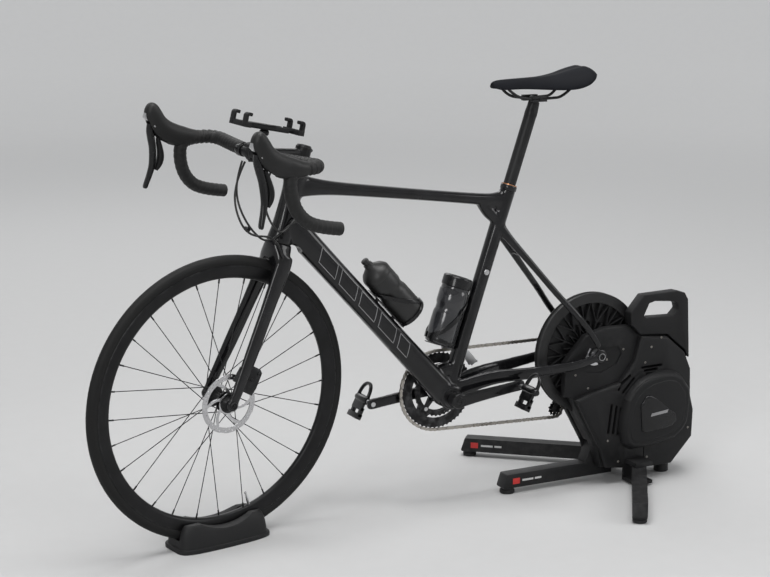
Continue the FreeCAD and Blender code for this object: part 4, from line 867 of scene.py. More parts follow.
def stay_shells():
    """Right chainstay, seatstay and dropout."""
    chain_rows = rows_at(BB, ((20, 21, 16, 44, 18), (115, 31, 36, 36, 16), (215, 52, 42, 30, 16)))
    chain_rows += rows_at(REAR, ((-80, 69, -16, 25, 14), (-10, 72, -2, 20, 10)))
    top = on_seat(SEAT_TUBE_LENGTH - SEATSTAY_DOWN)
    seat_rows = rows_at(top, ((4, 9, 2, 30, 15), (30, 18, -31, 21, 14.5), (90, 34, -102, 17, 14),
                              (150, 47, -173, 16.5, 14)))
    seat_rows += rows_at(REAR, ((-70, 66, 112, 16.5, 13), (-24, 70, 57, 16.5, 11), (-4, 72, 24, 16, 9)))
    return [moulded(chain_rows, 8, 2.4), moulded(seat_rows, 6, 2.4), disc(REAR, 19, 68, 76)]


def frame_shells():
    head = [(*on_steerer(place), deep, wide) for place, deep, wide in (
        (380, 61, 59), (394, 58, 56), (412, 53, 50), (450, 49, 46), (490, 48, 45), (528, 50, 48),
        (548, 51, 50))]
    down = along_run(BB, DOWN_TOP, [(0, 66, 66), (0.07, 63, 60), (0.2, 59, 51), (0.5, 57, 48),
                                    (0.82, 58, 47), (0.94, 62, 45), (1, 68, 44)])
    seat = along_run(BB, SEAT_TOP, [(0, 46, 58), (0.1, 42, 44), (0.25, 37, 36), (0.6, 36, 34),
                                    (0.88, 37, 35), (1, 38, 36)])
    top = along_run(on_seat(SEAT_TUBE_LENGTH - 30), on_steerer(HEAD_TOP - 30),
                    [(0, 56, 32), (0.04, 40, 31), (0.1, 29, 32), (0.3, 26, 35), (0.55, 27, 37),
                     (0.8, 31, 39), (0.92, 42, 40), (1, 60, 40)])
    middle = on_seat(SEAT_TUBE_LENGTH - SEATSTAY_DOWN) + Vector((62, 0, -70))
    bridge = rod(middle - Vector((0, 27, 0)), middle + Vector((0, 27, 0)), 5)
    tubes = [moulded(rows, 6, power)
             for rows, power in ((head, 2.0), (down, 2.6), (seat, 2.1), (top, 2.6))]
    top_foot = on_seat(SEAT_TUBE_LENGTH - 30).lerp(on_steerer(HEAD_TOP - 30), 0.13) - Vector((0, 0, 4))
    for start, end, rows in ((on_seat(444), top_foot, [(0, 22, 26), (0.5, 32, 28), (1, 18, 28)]),
                             (on_seat(70), BB + DOWN_DIR * 74, [(0, 34, 34), (0.5, 42, 38), (1, 34, 42)])):
        tubes.append(moulded(along_run(start, end, rows), 5, 2.2))
    return [*tubes, disc(BB, 30, -34, 34), bridge, *both(stay_shells())]


def build_frame(fine):
    piece = melted(rough_object("frame_tubes", frame_shells()), fine, 14, 0.5)
    cut_out(piece, [rod(on_steerer(360), on_steerer(384), 60)])
    finish_piece(piece, look("lacquer"), FIXED, ("main_frame", "chainstays", "seatstays"),
                 sharp=60)
    collar = [(-3, 15.5), (-3, 19), (-1, 20.4), (8, 20.4), (10, 19), (10, 15.5)]
    piece_of("seat_collar", [lathe(SEAT_TOP, SEAT_DIR, collar, 48, True)], look("lacquer"),
             FIXED)
    line = [(10.2, 15.5), (10.2, 19.4), (12, 19.4), (12, 15.5)]
    piece_of("seat_collar_line", [lathe(SEAT_TOP, SEAT_DIR, line, 48, True)], look("copper_line"),
             FIXED)
    badge = rod(on_seat(318) - Vector((0, 16.6, 0)), on_seat(318) - Vector((0, 18.6, 0)), 7, 32)
    piece_of("seat_tube_badge", [badge], look("bright_steel"), FIXED)
    for side, name in ((-1, "left"), (1, "right")):
        piece_of("down_tube_panels_" + name, panel_lines(side), look("silver_print"), FIXED)
    axle_ends = [disc(REAR, 9, side * 76.2, side * 80) for side in (-1, 1)]
    piece_of("axle_ends", axle_ends, look("satin_metal"), FIXED)


def panel_lines(side):
    """Outlined slanted panels along one side of the down tube."""
    length = (DOWN_TOP - BB).length
    across = Vector((-DOWN_DIR.z, 0, DOWN_DIR.x))
    shells = []
    for start, wide in ((0.80, 0.095), (0.68, 0.095), (0.56, 0.095), (0.44, 0.095), (0.32, 0.06)):
        loop = [(start, 15), (start - wide, 15), (start - wide + 0.03, -15), (start + 0.03, -15)]
        points = []
        for (u0, v0), (u1, v1) in zip(loop, loop[1:] + loop[:1]):
            for step in range(10):
                share = step / 10
                u, v = u0 + (u1 - u0) * share, v0 + (v1 - v0) * share
                out = 24.6 * (1 - abs(2 * v / 58) ** 2.6) ** (1 / 2.6) + 0.25
                points.append(BB + DOWN_DIR * (u * length) + across * v + Vector((0, side * out, 0)))
        rings = []
        for index, point in enumerate(points):
            along = (points[(index + 1) % len(points)] - points[index - 1]).normalized()
            level = along.cross(Vector((0, side, 0))).normalized()
            low = Vector((0, side * 0.5, 0))
            rings.append([point - level * 0.75 - low, point + level * 0.75 - low,
                          point + level * 0.75 + low, point - level * 0.75 + low])
        rings.append(rings[0])
        shells.append(loft(rings, False))
    return shells


def build_fork(fine):
    crown = on_steerer(HEAD_FROM_AXLE - 1)
    start = crown - STEER_DIR * 26
    run = FRONT - start
    back = Vector((STEER_DIR.z, 0, -STEER_DIR.x))
    table = [(0.0, 0.93, 34, 24, 31), (0.08, 0.9, 42, 23, 34), (0.35, 0.7, 35, 18, 41),
             (0.65, 0.46, 33, 16, 49), (0.92, 0.08, 26, 13, 56), (1.0, -0.04, 22, 13, 56)]
    rows = [(*(start + run * place + back * (bow * 9) + Vector((0, y, 0))), deep, wide)
            for place, bow, deep, wide, y in table]
    head = [(*(crown + STEER_DIR * up), deep, wide) for up, deep, wide in (
        (-1, 58, 55), (-8, 59, 60), (-17, 56, 72), (-28, 51, 84), (-42, 46, 90), (-54, 38, 88))]
    shells = [moulded(head, 5, 2.5)] + both([moulded(rows, 8, 2.4), disc(FRONT, 14, 50, 62)])
    piece = melted(rough_object("fork_legs", shells), fine, 12, 0.45)
    cut_out(piece, [rod(FRONT - Vector((0, 21, 0)), FRONT + Vector((0, 21, 0)), 345, 96),
                    rod(crown - STEER_DIR * 0.8, crown + STEER_DIR * 30, 60)])
    finish_piece(piece, look("lacquer"), "steering", ("fork",), 60)
    seam = [(-0.8, 20), (-0.8, 28.4), (0.4, 28.9), (0.4, 20)]
    piece_of("headset_seam", [lathe(crown, STEER_DIR, seam, 48, True)], look("satin_metal"), "steering")


# ---- Front wheel -------------------------------------------------------------------------------

def wheel_ring(profile, steps=128):
    """A ring about the front axle from a closed (y, radius) outline."""
    return lathe(FRONT, ACROSS, profile, steps, True)


def build_tyre_and_rim():
    middle = TYRE_R - 14
    tread = []
    for step in range(41):
        angle = math.radians(-128 + 256 * step / 40)
        ridge = 0.35 if abs(abs(math.degrees(angle)) - 84) < 4 else 0.0
        crown = -0.25 if abs(abs(math.degrees(angle)) - 38) < 4 else 0.0
        radius = 13.7 + ridge + crown
        tread.append((radius * math.sin(angle), middle + radius * math.cos(angle)))
    piece_of("front_tyre_tread", [wheel_ring(tread, 160)], look("tyre_rubber"), "front_wheel",
             ("front_tyre",),
             sharp=50)
    half = [(0, RIM_IN_R), (4, RIM_IN_R + 0.4), (7.5, RIM_IN_R + 3), (10, RIM_IN_R + 8),
            (11.6, RIM_IN_R + 16), (12, RIM_IN_R + 25), (11.6, 316), (10.6, 317), (9, 316)]
    rim = [(-y, r) for y, r in reversed(half[1:])] + half
    piece_of("front_rim_hoop", [wheel_ring(rim, 160)], look("satin_metal"), "front_wheel", ("front_rim",),
             sharp=40)


def build_spokes():
    """Spokes in four families, each repeated seven times round the hub."""
    families = []
    for index in range(4):
        side = 1 if index % 2 else -1
        lean = math.radians(58 if index // 2 else -58)
        place = 2 * math.pi * index / 28
        y = side * 27 + 0.6 * (index // 2)
        start = FRONT + Vector((24.6 * math.cos(place + lean), y, 24.6 * math.sin(place + lean)))
        end = FRONT + Vector((286 * math.cos(place), side * 2.5, 286 * math.sin(place)))
        nipple = end.lerp(start, 0.045)
        families += [rod(start, end, 1.05, 8), rod(nipple, end, 2.0, 8), rod(
            start - Vector((0, 2.2, 0)), start + Vector((0, 2.2, 0)), 1.8, 8)]
    piece = rough_object("front_spokes_laced", families)
    repeated(piece, 7, FRONT, (0, 2 * math.pi / 7, 0), finish=look("painted_steel"))
    finish_piece(piece, look("painted_steel"), "front_wheel", ("front_spokes",))
    hub = [(-48.6, 7), (-48.6, 12), (-46, 13.5), (-42, 19), (-38.4, 19), (-37, 15), (-30, 15), (-29, 24),
           (-28, 25), (-26, 25), (-25, 23.5), (-23, 14), (-12, 12.4), (12, 12.4), (23, 14), (25, 23.5),
           (26, 25), (28, 25), (29, 24), (31, 15), (40, 14), (46, 13), (48.6, 11), (48.6, 7)]
    piece_of("front_hub_shell", [wheel_ring(hub, 64)], look("satin_metal"), "front_wheel", ("front_hub",))
    valve_dir = Vector((0.28, 0, -0.96)).normalized()
    foot = FRONT + valve_dir * (RIM_IN_R + 1)
    stem = [(0, 0), (0, 3.6), (2.5, 3.6), (2.8, 2.9), (22, 2.9), (22.5, 2.1), (30, 2.1), (30.5, 3.1),
            (34, 3.1), (36, 1.2), (36, 0)]
    piece_of("valve_stem", [lathe(foot, -valve_dir, stem, 16)], look("bright_steel"), "front_wheel")


def swirl(radius, angle, lag):
    """A point that lags further behind the nearer it is to the rim."""
    turn = angle + lag
    return FRONT.x + radius * math.cos(turn), FRONT.z + radius * math.sin(turn)


def build_rotor():
    """The brake rotor: a slotted track on six curved arms, and its black carrier."""
    windows = []
    for arm in range(6):
        base = math.radians(60 * arm)
        outer = [swirl(57, base + math.radians(3.5 + 53 * step / 8), 0.0) for step in range(9)]
        inner = [swirl(25, base + math.radians(50 - 40 * step / 4), -0.55) for step in range(5)]
        right = [swirl(r, base + math.radians(54.5), -0.55 * (57 - r) / 32) for r in (50, 42, 34)]
        left = [swirl(r, base + math.radians(5.5), -0.55 * (57 - r) / 32) for r in (32, 40, 48)]
        windows.append(outer + right + inner + left)
    slots = []
    for index in range(48):
        angle = 2 * math.pi * index / 48
        low, high = ((59.8, 62.4), (64.2, 67.0))[index % 2]
        slot = [swirl(radius, angle + shift, 0.0) for radius, shift in (
            (low, -0.028), (low, 0.012), (high, 0.06), (high, 0.02))]
        slots.append(slot if index % 4 < 2 else [swirl(radius, angle - shift, 0.0) for radius, shift in (
            (low, 0.028), (low, -0.012), (high, -0.06), (high, -0.02))])
    track = [swirl(70 - (0.9 if step % 12 < 3 else 0), math.radians(3 * step), 0.0) for step in range(120)]
    shell = plate(track, -40.9, -39.1, [circle(FRONT.x, FRONT.z, 19.4, 40), *windows, *slots])
    piece_of("front_rotor_track", [shell], look("bright_steel"), "front_wheel", ("front_rotor",),
             sharp=30)
    carrier = [(-42.6, 10), (-42.6, 15), (-41.2, 17), (-41.2, 22), (-40.95, 22), (-40.95, 10)]
    piece_of("rotor_lock_ring", [wheel_ring(carrier, 48)], look("satin_metal"), "front_wheel")


def build_caliper():
    """The flat mount caliper behind the left fork leg."""
    centre = FRONT + Vector((50, 0, 50))
    spots = [(-19, -30), (19, -30), (22, -10), (19, 26), (10, 33), (-14, 33), (-22, 20), (-21, -10)]
    outline = outline_at(centre, spots)
    wall = [plate(outline, y0, y1) for y0, y1 in ((-56, -43.4), (-36.6, -30))]
    bridge = plate(outline_at(centre, ((-14, 24), (10, 24), (12, 32), (-14, 32))), -50, -34)
    shells = [tilted(shell, centre, 30) for shell in (*wall, bridge)]
    mount = plate(outline_at(centre, ((-44, -10), (-12, -14), (-10, 22), (-36, 26))), -56, -47.5)
    shells.append(tilted(mount, centre, 20))
    bolts = [tilted(disc(centre + Vector((x, 0, z)), 4.2, -58.5, -55), centre, 30)
             for x, z in ((-12, -20), (12, 22), (0, 2))]
    piece_of("front_caliper_body", shells + bolts, look("satin_metal"), "steering", ("front_caliper",),
             1.4)
    head = [(-66, 0), (-66, 3), (-64.6, 3), (-64.6, 6.5), (-65.6, 8), (-64.4, 9), (-62.2, 9), (-62.2, 0)]
    nut = [(62.2, 0), (62.2, 8), (63.4, 8), (64.4, 6.4), (64.4, 0)]
    piece_of("front_axle_ends", [lathe(FRONT, ACROSS, side, 32) for side in (head, nut)],
             look("satin_metal"), "steering", ("front_axle",))


# ---- Cockpit -----------------------------------------------------------------------------------

def bar_route():
    """Right half of the handlebar's line."""
    return points_at(BAR, (
        (0, 20, 0), (2, 90, 2), (11, 168, 5), (13, HOOD_Y - 24, 8), (-9, HOOD_Y - 3, 11),
        (-BAR_REACH + 4, HOOD_Y, 8), (-BAR_REACH + 1, HOOD_Y + 4, -40), (-BAR_REACH + 20, HOOD_Y + 7, -88),
        (-BAR_REACH + 62, DROP_Y - 2, -BAR_DROP + 8), (50, DROP_Y, -BAR_DROP - 2)))


def tape_radius(pitch):
    """Overlapping turns of tape: each starts thin and ends proud."""
    def radius(walked, share, angle):
        turn = (walked / pitch + angle / (2 * math.pi)) % 1.0
        lip = turn / 0.86 if turn < 0.86 else (1 - turn) / 0.14
        proud = 2.0 if share < 0.5 else 0.85
        return 14.7 + proud * lip
    return radius


def build_handlebar(pitch):
    line = even_path(eased_path(bar_route(), 24), 1.5)
    start = next(index for index, point in enumerate(line) if point.y - BAR.y > 74)
    tape = tube(line[start:], tape_radius(pitch), 20)
    piece_of("bar_tape_turns", both([tape]), look("wrapped_tape"), "steering", ("bar_tape",),
             sharp=34)
    half = [(0, 15.9), (44, 15.9), (52, 15.5), (64, 13.6), (74, 12.1), (84, 11.9), (84, 0)]
    bar = [(-84, 0), *[(-y, r) for y, r in reversed(half[1:-1])], *half]
    piece_of("handlebar_centre", [lathe(BAR, ACROSS, bar, 48)], look("satin_metal"), "steering",
             ("handlebar",))
    band_profile = [(72, 11), (72, 14.8), (73, 15.4), (90, 15.6), (91, 15.0), (91, 11)]
    bands = both([lathe(BAR, ACROSS, band_profile, 40, True)])
    piece_of("tape_finishing_bands", bands, look("gloss_moulding"), "steering")
    end, before = line[-1], line[-6]
    plug = [(-1, 0), (-1, 14.4), (1.4, 14.6), (3, 12.5), (3.4, 8), (2.2, 0)]
    piece_of("bar_end_plugs", both([lathe(end, end - before, plug, 32)]), look("gloss_moulding"), "steering")


def build_stem():
    middle = on_steerer(STEM_TOP - 20)
    low = on_steerer(STEM_TOP - 40)
    run = BAR - middle
    beam = moulded(along_run(middle, BAR, [(0, 30, 30), (0.3, 30, 29), (0.7, 32, 32), (0.86, 35, 40),
                                           (1, 36, 42)]), 6, 2.8)
    clamp = lathe(BAR, ACROSS, [(-23, 15), (-23, 20.4), (-21, 21.4), (21, 21.4), (23, 20.4),
                                           (23, 15)], 48, True)
    sleeve = lathe(low, STEER_DIR, [(0, 14.6), (0, 18.4), (1, 19), (39, 19), (40, 18.4), (40, 14.6)], 48,
                   True)
    piece = melted(rough_object("stem_body", [beam, clamp, sleeve]), 1.5, 5, 0.2)
    cut_out(piece, [rod(BAR - Vector((0, 60, 0)), BAR + Vector((0, 60, 0)), 15.7, 48),
                    rod(low - STEER_DIR * 20, low + STEER_DIR * 70, 14.4, 48)])
    finish_piece(piece, look("satin_metal"), "steering", ("stem",), 45)
    bolts = []
    ahead = run.normalized()
    up = Vector((-ahead.z, 0, ahead.x))
    for y in (-16, 16):
        for height in (-14, 14):
            foot = BAR + ahead * 14.5 + up * height + Vector((0, y, 0))
            bolts.append(lathe(foot, ahead, [(0, 0), (0, 4), (7, 4), (7, 2.2), (4.5, 2.2), (4.5, 0)], 20))
    for place in (10, 30):
        foot = low + STEER_DIR * place + Vector((17, -9, 0))
        bolts.append(rod(foot, foot + Vector((0, 18, 0)), 4.2, 20))
    cap = lathe(on_steerer(STEM_TOP), STEER_DIR,
                [(0, 0), (0, 17), (2, 17), (4.4, 14), (4.6, 5), (2.8, 4.4), (2.8, 0)], 40)
    piece_of("stem_bolts_and_cap", [*bolts, cap], look("satin_metal"), "steering")
    rings = []
    for start, end in ((1, 6), (6.3, 13.6), (13.9, 21.4)):
        base = on_steerer(HEAD_TOP)
        profile = [(start, 14.5), (start, 22 - (0 if start > 2 else -3)), (end, 22), (end, 14.5)]
        rings.append(lathe(base, STEER_DIR, profile, 48, True))
    piece_of("stem_spacers", rings, look("carbon_weave"), "steering", ("headset_spacers",),
             0.5)


HOOD_ROWS = ((-33, 0, 11, 31, 31, 0.0), (-47, 0.5, 11, 38, 35, 0.0), (-66, 1, 14, 45, 37, 0.02),
             (-90, 0.5, 19, 51, 37, 0.12), (-112, 0, 28, 52, 37, 0.28), (-130, -1, 41, 52, 37, 0.45),
             (-143, -1.5, 58, 51, 37, 0.62), (-152, -2, 74, 45, 35, 0.75), (-159, -2, 86, 33, 28, 0.85),
             (-162, -2, 92, 17, 15, 0.9))


def hood_shell():
    """The rubber covered lever body on the right side."""
    rings = []
    for x, y, z, deep, wide, rise in smooth_rows(HOOD_ROWS, 6):
        along = Vector((1, 0, -rise))
        rings.append(oval(BAR + Vector((x, HOOD_Y + y, z)), along, deep, wide, 2.3, 36))
    return loft(rings)


def flare(z):
    """How far the lever's blade leans outwards at a height below its hinge."""
    return 22 * max(0.0, -z / 150) ** 1.2


def build_levers():
    room = outline_at(LEVER, ((-40, -60), (-40, 11), (11, 11), (14, -8), (30, -24), (44, -30), (44, -60)))
    slot = plate(room, LEVER.y - 9.6, LEVER.y + 9.6)
    for side, name in ((1, "right"), (-1, "left")):
        turn = flipped if side < 0 else tuple
        hood = rough_object("hood_" + name, [turn(hood_shell())])
        hood = bevelled(cut_out(hood, [turn(slot)]), 1.0, 2, 50)
        finish_piece(hood, look("grip_rubber"), "steering", ("lever_hoods",), 50)
        accent = outline_at(LEVER, ((-14, 12), (-8, 22), (-18, 30), (-22, 20)))
        cap = plate(accent, LEVER.y - 5, LEVER.y + 5)
        pin = disc(LEVER, 2.5, LEVER.y - 15.5, LEVER.y + 15.5)
        piece_of("lever_trim_" + name, [turn(cap), turn(pin)], look("bare_metal"), "steering",
                 bevel=1.2)
        rows = ((-3, 4, 18, 15), (-4, -12, 19, 15), (-1, -30, 18, 14), (4, -52, 17, 13), (6.5, -76, 17, 13),
                (6, -98, 15.5, 13), (1, -120, 13, 14), (-4, -136, 11, 15), (-7, -147, 10, 14),
                (-8, -151, 6, 9))
        blade = moulded([(LEVER.x + x, LEVER.y + flare(z), LEVER.z + z, deep, wide)
                         for x, z, deep, wide in rows], 5, 2.6, 24)
        piece_of("brake_blade_" + name, [turn(blade)], look("gloss_moulding"), "brake_lever_" + name,
                 ("brake_lever_" + name,), sharp=50)
        rows = ((15, -30, 8, 12), (18, -42, 11, 14), (22, -56, 13, 16), (25, -72, 15, 18),
                (24.5, -86, 15, 18),
                (21, -98, 12, 15), (16, -108, 7, 9))
        paddle = moulded([(LEVER.x + x, LEVER.y + flare(z) - 3, LEVER.z + z, deep, wide)
                          for x, z, deep, wide in rows], 5, 2.8, 20)
        piece_of("shift_blade_" + name, [turn(paddle)], look("satin_metal"), "shift_paddle_" + name,
                 ("shift_paddle_" + name,), sharp=50)


def finger(x, y, facing):
    """One bent finger of the phone cradle, at an end of it."""
    line = points_at(Vector((x, y, 0)), ((0, 0, -2), (0, 0, 12), (0, 0, 22), (4 * facing, 0, 24),
                                         (12 * facing, 0, 23)))
    return band(even_path(eased_path(line, 10), 2), 15, 8)


def build_phone_cradle():
    """The tilted cradle, its post and bar clamp, and the sliding jaw."""
    centre = BAR + Vector((14, 0, 63))
    tilt = Quaternion((0, 1, 0), math.radians(12))

    def set_up(shell):
        return moved(shell, lambda point: centre + tilt @ point)
    base = [block((-76, -20, -5.6), (48, -12.2, 5.6)), block((-76, 12.2, -5.6), (48, 20, 5.6)),
            block((-76, -20, -5.9), (48, 20, -2.7)), block((-76, -20, 2.7), (10, 20, 5.9)),
            block((-79, -34, -6), (-63, 34, 6))]
    fingers = [finger(-76, y, 1) for y in (-26, 26)]
    piece_of("phone_cradle", [set_up(shell) for shell in base + fingers], look("shell_plastic"), "steering",
             ("phone_holder",), 1.6)
    jaw = [block((15, -11.4, -2.0), (74, 11.4, 2.0)), block((66, -34, -6), (81, 34, 6))]
    hooks = [finger(78, y, -1) for y in (-26, 26)]
    piece_of("phone_cradle_jaw", [set_up(shell) for shell in jaw + hooks], look("shell_plastic"), "phone_jaw",
             ("phone_jaw",), 1.4)
    post = rod(BAR + Vector((0, 32, 18)), centre + Vector((-8, 0, -8)), 7.5)
    ball = lathe(centre + Vector((-8, 0, -18)), Vector((6, 0, 37)),
                 [(0, 0), (0, 9), (3, 11), (9, 11), (12, 9), (13, 0)], 32)
    strap = washer(BAR, 15.95, 20.4, 24, 40, 48, 1.0)
    lug = rod(BAR + Vector((20, 32, -6)), BAR + Vector((20, 32, 6)), 5)
    mount = moulded(rows_at(BAR, ((-44, -6, 26, 7, 24), (-36, -6, 27, 10, 28), (-12, -6, 28, 11, 28),
                                  (-4, -6, 28, 7, 22))), 4, 3.0)
    leg = rod(BAR + Vector((-20, -6, 16)), BAR + Vector((-22, -6, 26)), 5)
    piece_of("cradle_post_and_clamp", [post, ball, strap, lug, mount, leg], look("shell_plastic"), "steering",
             bevel=0.6)


def hose_ends():
    port = on_steerer(HEAD_FROM_AXLE + 44) + Vector((32, -21, 2))
    return BAR, port, on_steerer(HEAD_FROM_AXLE - 1)


def build_hoses(radius):
    """Control hoses that bend between the bars and the frame, and the front brake's hose."""
    c, port, crown = hose_ends()
    far = points_at(c, ((-12, 62, -22), (-34, 52, -62), (-48, 24, -112), (-30, -6, -170), (8, -24, -204)))
    far += points_at(port, ((-24, -10, 12), (0, 0, 0)))
    near = points_at(c, ((-10, -60, -20), (-24, -56, -58), (-22, -50, -108), (0, -44, -152),
                         (34, -40, -182))) + points_at(port, ((-16, -12, 22), (4, 0, 9)))
    brake = points_at(c, ((-12, 50, -22), (-44, 40, -66), (-60, 16, -122), (-44, -14, -180)))
    brake += points_at(crown, ((-34, -34, 24), (-18, -42, -18), (-8, -40, -44)))
    far, near, brake = (tube(even_path(eased_path(route, 16), 5), radius, 12)
                        for route in (far, near, brake))
    for name, shell in (("far", far), ("near", near)):
        finish_hose(rough_object("control_hose_" + name, [shell]))
    piece_of("front_brake_hose", [brake], look("hose_jacket"),
             "steering", ("brake_hose_front",))
    clip_at = c + Vector((-36, -4, -166))
    clip = washer(clip_at, 2.7, 5.4, -8, 8, 24)
    piece_of("hose_clip", [clip], look("gloss_moulding"), "steering")
    boot = lathe(port + Vector((-7, -3, 6)), Vector((9, 3, -6)),
                 [(0, 2.6), (0, 5), (3, 5.6), (3.4, 4.8), (6, 6.4), (6.4, 5.4), (9, 7.4), (14, 8.4),
                  (14, 2.6)],
                 24, True)
    piece = rough_object("hose_port_boot", [boot])
    piece.data.transform(place_steered())
    piece.data.transform(place_shift().inverted())
    finish_piece(piece, look("grip_rubber"), FIXED)


def finish_hose(piece):
    """A control hose set in place with the bars at rest and given its finish; it is left without a body."""
    piece.data.transform(place_steered())
    piece.data.materials.append(look("hose_jacket"))
    piece.data.shade_smooth()
    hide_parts("control_hoses")
    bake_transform(piece)


# ---- Chain, rings, cranks and pedals -----------------------------------------------------------

def tangent(a, ra, b, rb, side, crossed):
    """Where a straight run leaves circle a and meets circle b, on the chosen side."""
    reach = b - a
    gap = math.hypot(reach.x, reach.z)
    angle = math.atan2(reach.z, reach.x) + side * math.acos((ra + rb if crossed else ra - rb) / gap)
    far = angle + math.pi if crossed else angle
    return (a + Vector((math.cos(angle), 0, math.sin(angle))) * ra,
            b + Vector((math.cos(far), 0, math.sin(far))) * rb)


def arc_points(centre, start, end, turn):
    """Points each few degrees round a circle, from start to end, turning one way."""
    radius = (start - centre).length
    a0 = math.atan2(start.z - centre.z, start.x - centre.x)
    a1 = math.atan2(end.z - centre.z, end.x - centre.x)
    sweep = (a1 - a0) % (2 * math.pi)
    if turn < 0:
        sweep -= 2 * math.pi
    steps = max(2, int(abs(sweep) / 0.05))
    angles = [a0 + sweep * step / steps for step in range(steps + 1)]
    return [centre + Vector((math.cos(a), 0, math.sin(a))) * radius for a in angles]


def eased_share(goal, run):
    """A share from 0 to 1 that starts and ends three pitches inside a run."""
    low, high = run[0] + 3 * CHAIN_PITCH, run[1] - 3 * CHAIN_PITCH
    return min(1.0, max(0.0, (goal - low) / (high - low)))


def chain_pins():
    """Evenly spaced pin places round the closed chain, each with its sideways place."""
    big, small, guide = pitch_radius(RING_TEETH), pitch_radius(COG_TEETH[0]), pitch_radius(JOCKEY_TEETH)
    top_a, top_b = tangent(BB, big, REAR, small, 1, False)
    cog_a, up_b = tangent(REAR, small, UPPER_JOCKEY, guide, 1, True)
    up_a, low_b = tangent(UPPER_JOCKEY, guide, LOWER_JOCKEY, guide, -1, True)
    low_a, ring_b = tangent(LOWER_JOCKEY, guide, BB, big, 1, False)
    points = arc_points(BB, ring_b, top_a, -1)
    split = len(points)
    points += arc_points(REAR, top_b, cog_a, -1) + arc_points(UPPER_JOCKEY, up_b, up_a, 1)
    points += arc_points(LOWER_JOCKEY, low_b, low_a, -1)
    closed = points + points[:1]
    lengths = [(b - a).length for a, b in zip(closed, closed[1:])]
    total = sum(lengths)
    count = 2 * round(total / CHAIN_PITCH / 2)
    top_run = (sum(lengths[:split - 1]), sum(lengths[:split]))
    low_run = (total - lengths[-1], total)
    pins = []
    for index in range(count):
        goal = total * index / count
        walked = 0.0
        for start, end, length in zip(closed, closed[1:], lengths):
            if walked + length >= goal:
                spot = start.lerp(end, (goal - walked) / length)
                break
            walked += length
        if goal >= low_run[0]:
            spot.y = COG_Y - (COG_Y - RING_Y) * eased_share(goal, low_run)
        else:
            spot.y = RING_Y + (COG_Y - RING_Y) * eased_share(goal, top_run)
        pins.append(spot)
    return pins


def link_shells(outer):
    """Two waisted side plates and what joins them."""
    near = 2.0 if outer else 1.15
    ends = [(-4.0, -0.6), (-2.6, -3.2), (0.8, -4.0), (6.35, -2.9), (11.9, -4.0), (15.3, -3.2), (16.7, -0.6)]
    outline = ends + [(x, -z) for x, z in reversed(ends)]
    shells = [plate(outline, near, near + 0.85), plate(outline, -near - 0.85, -near)]
    half = near + 1.0 if outer else near
    round_r = 1.8 if outer else 3.4
    roller = [(-half, 0), (-half, round_r), (half, round_r), (half, 0)]
    return shells + [lathe(Vector((place, 0, 0)), ACROSS, roller, 8) for place in (0, CHAIN_PITCH)]


def build_chain():
    pins = chain_pins()
    for kind, name in ((0, "outer"), (1, "inner")):
        spots, turns = [], []
        for index in range(kind, len(pins), 2):
            start, end = pins[index], pins[(index + 1) % len(pins)]
            run = end - start
            spots.append(Vector((start.x, (start.y + end.y) / 2, start.z)))
            turns.append(-math.atan2(run.z, run.x))
        steel = look(("polished_link", "oiled_steel")[kind])
        piece = links_on("chain_links_" + name, spots, turns, link_shells(kind == 0), steel)
        finish_piece(piece, steel, FIXED, ("chain",))


def toothed(centre, teeth):
    """A sprocket's outline, with its tips just inside the chain's pins."""
    tip = pitch_radius(teeth) - 3.3
    points = []
    for tooth in range(teeth):
        for part, radius in ((-0.34, tip - 2.8), (-0.2, tip - 1.6), (-0.1, tip), (0.1, tip),
                             (0.2, tip - 1.6), (0.34, tip - 2.8)):
            angle = 2 * math.pi * (tooth + part) / teeth
            points.append((centre.x + radius * math.cos(angle), centre.z + radius * math.sin(angle)))
    return points


def about_bb(radius, angle):
    turn = CRANK_TURN + angle
    return BB.x + radius * math.cos(turn), BB.z + radius * math.sin(turn)


def ring_windows(inner, outer):
    """Four windows between the ring's bolt tabs."""
    windows = []
    for quarter in range(4):
        base = math.radians(90 * quarter)
        far = [about_bb(outer, base + math.radians(-30 + 60 * step / 8)) for step in range(9)]
        near = [about_bb(inner, base + math.radians(24 - 48 * step / 6)) for step in range(7)]
        windows.append(far + near)
    return windows


def build_rings():
    middle = circle(BB.x, BB.z, 50, 40)
    outer = plate(toothed(BB, RING_TEETH), RING_Y - 0.8, RING_Y + 0.8, [middle, *ring_windows(62, 70.5)])
    rib = washer(BB, 82.5, 86, RING_Y + 0.5, RING_Y + 2.4, 96)
    tabs = washer(BB, 51, 60.5, RING_Y - 1.5, RING_Y + 1.5, 64, 0.8)
    y = RING_Y - RING_GAP
    holes = [circle(*about_bb(58.5, 2 * math.pi * index / 28), 1.8, 8) for index in range(28)]
    inner = plate(toothed(BB, INNER_TEETH), y - 0.8, y + 0.8, [circle(BB.x, BB.z, 51, 40), *holes])
    piece_of("chainring_pair", [outer, rib, tabs, inner], look("satin_metal"), "crank", ("chainrings",),
             sharp=30)
    spot = Vector((*about_bb(55, math.radians(45)), 0)).xzy
    head = [(y - 2.2, 0), (y - 2.2, 5), (y - 0.9, 5), (y - 0.9, 3.8), (RING_Y + 1.4, 3.8),
            (RING_Y + 1.4, 5), (RING_Y + 3.0, 4.6), (RING_Y + 3.0, 2.6), (RING_Y + 1.8, 2.6),
            (RING_Y + 1.8, 0)]
    bolt = rough_object("chainring_bolt_set", [lathe(spot, ACROSS, head, 20)])
    repeated(bolt, 4, BB, (0, math.pi / 2, 0), finish=look("bright_steel"))
    finish_piece(bolt, look("bright_steel"), "crank", ("chainring_bolts",))


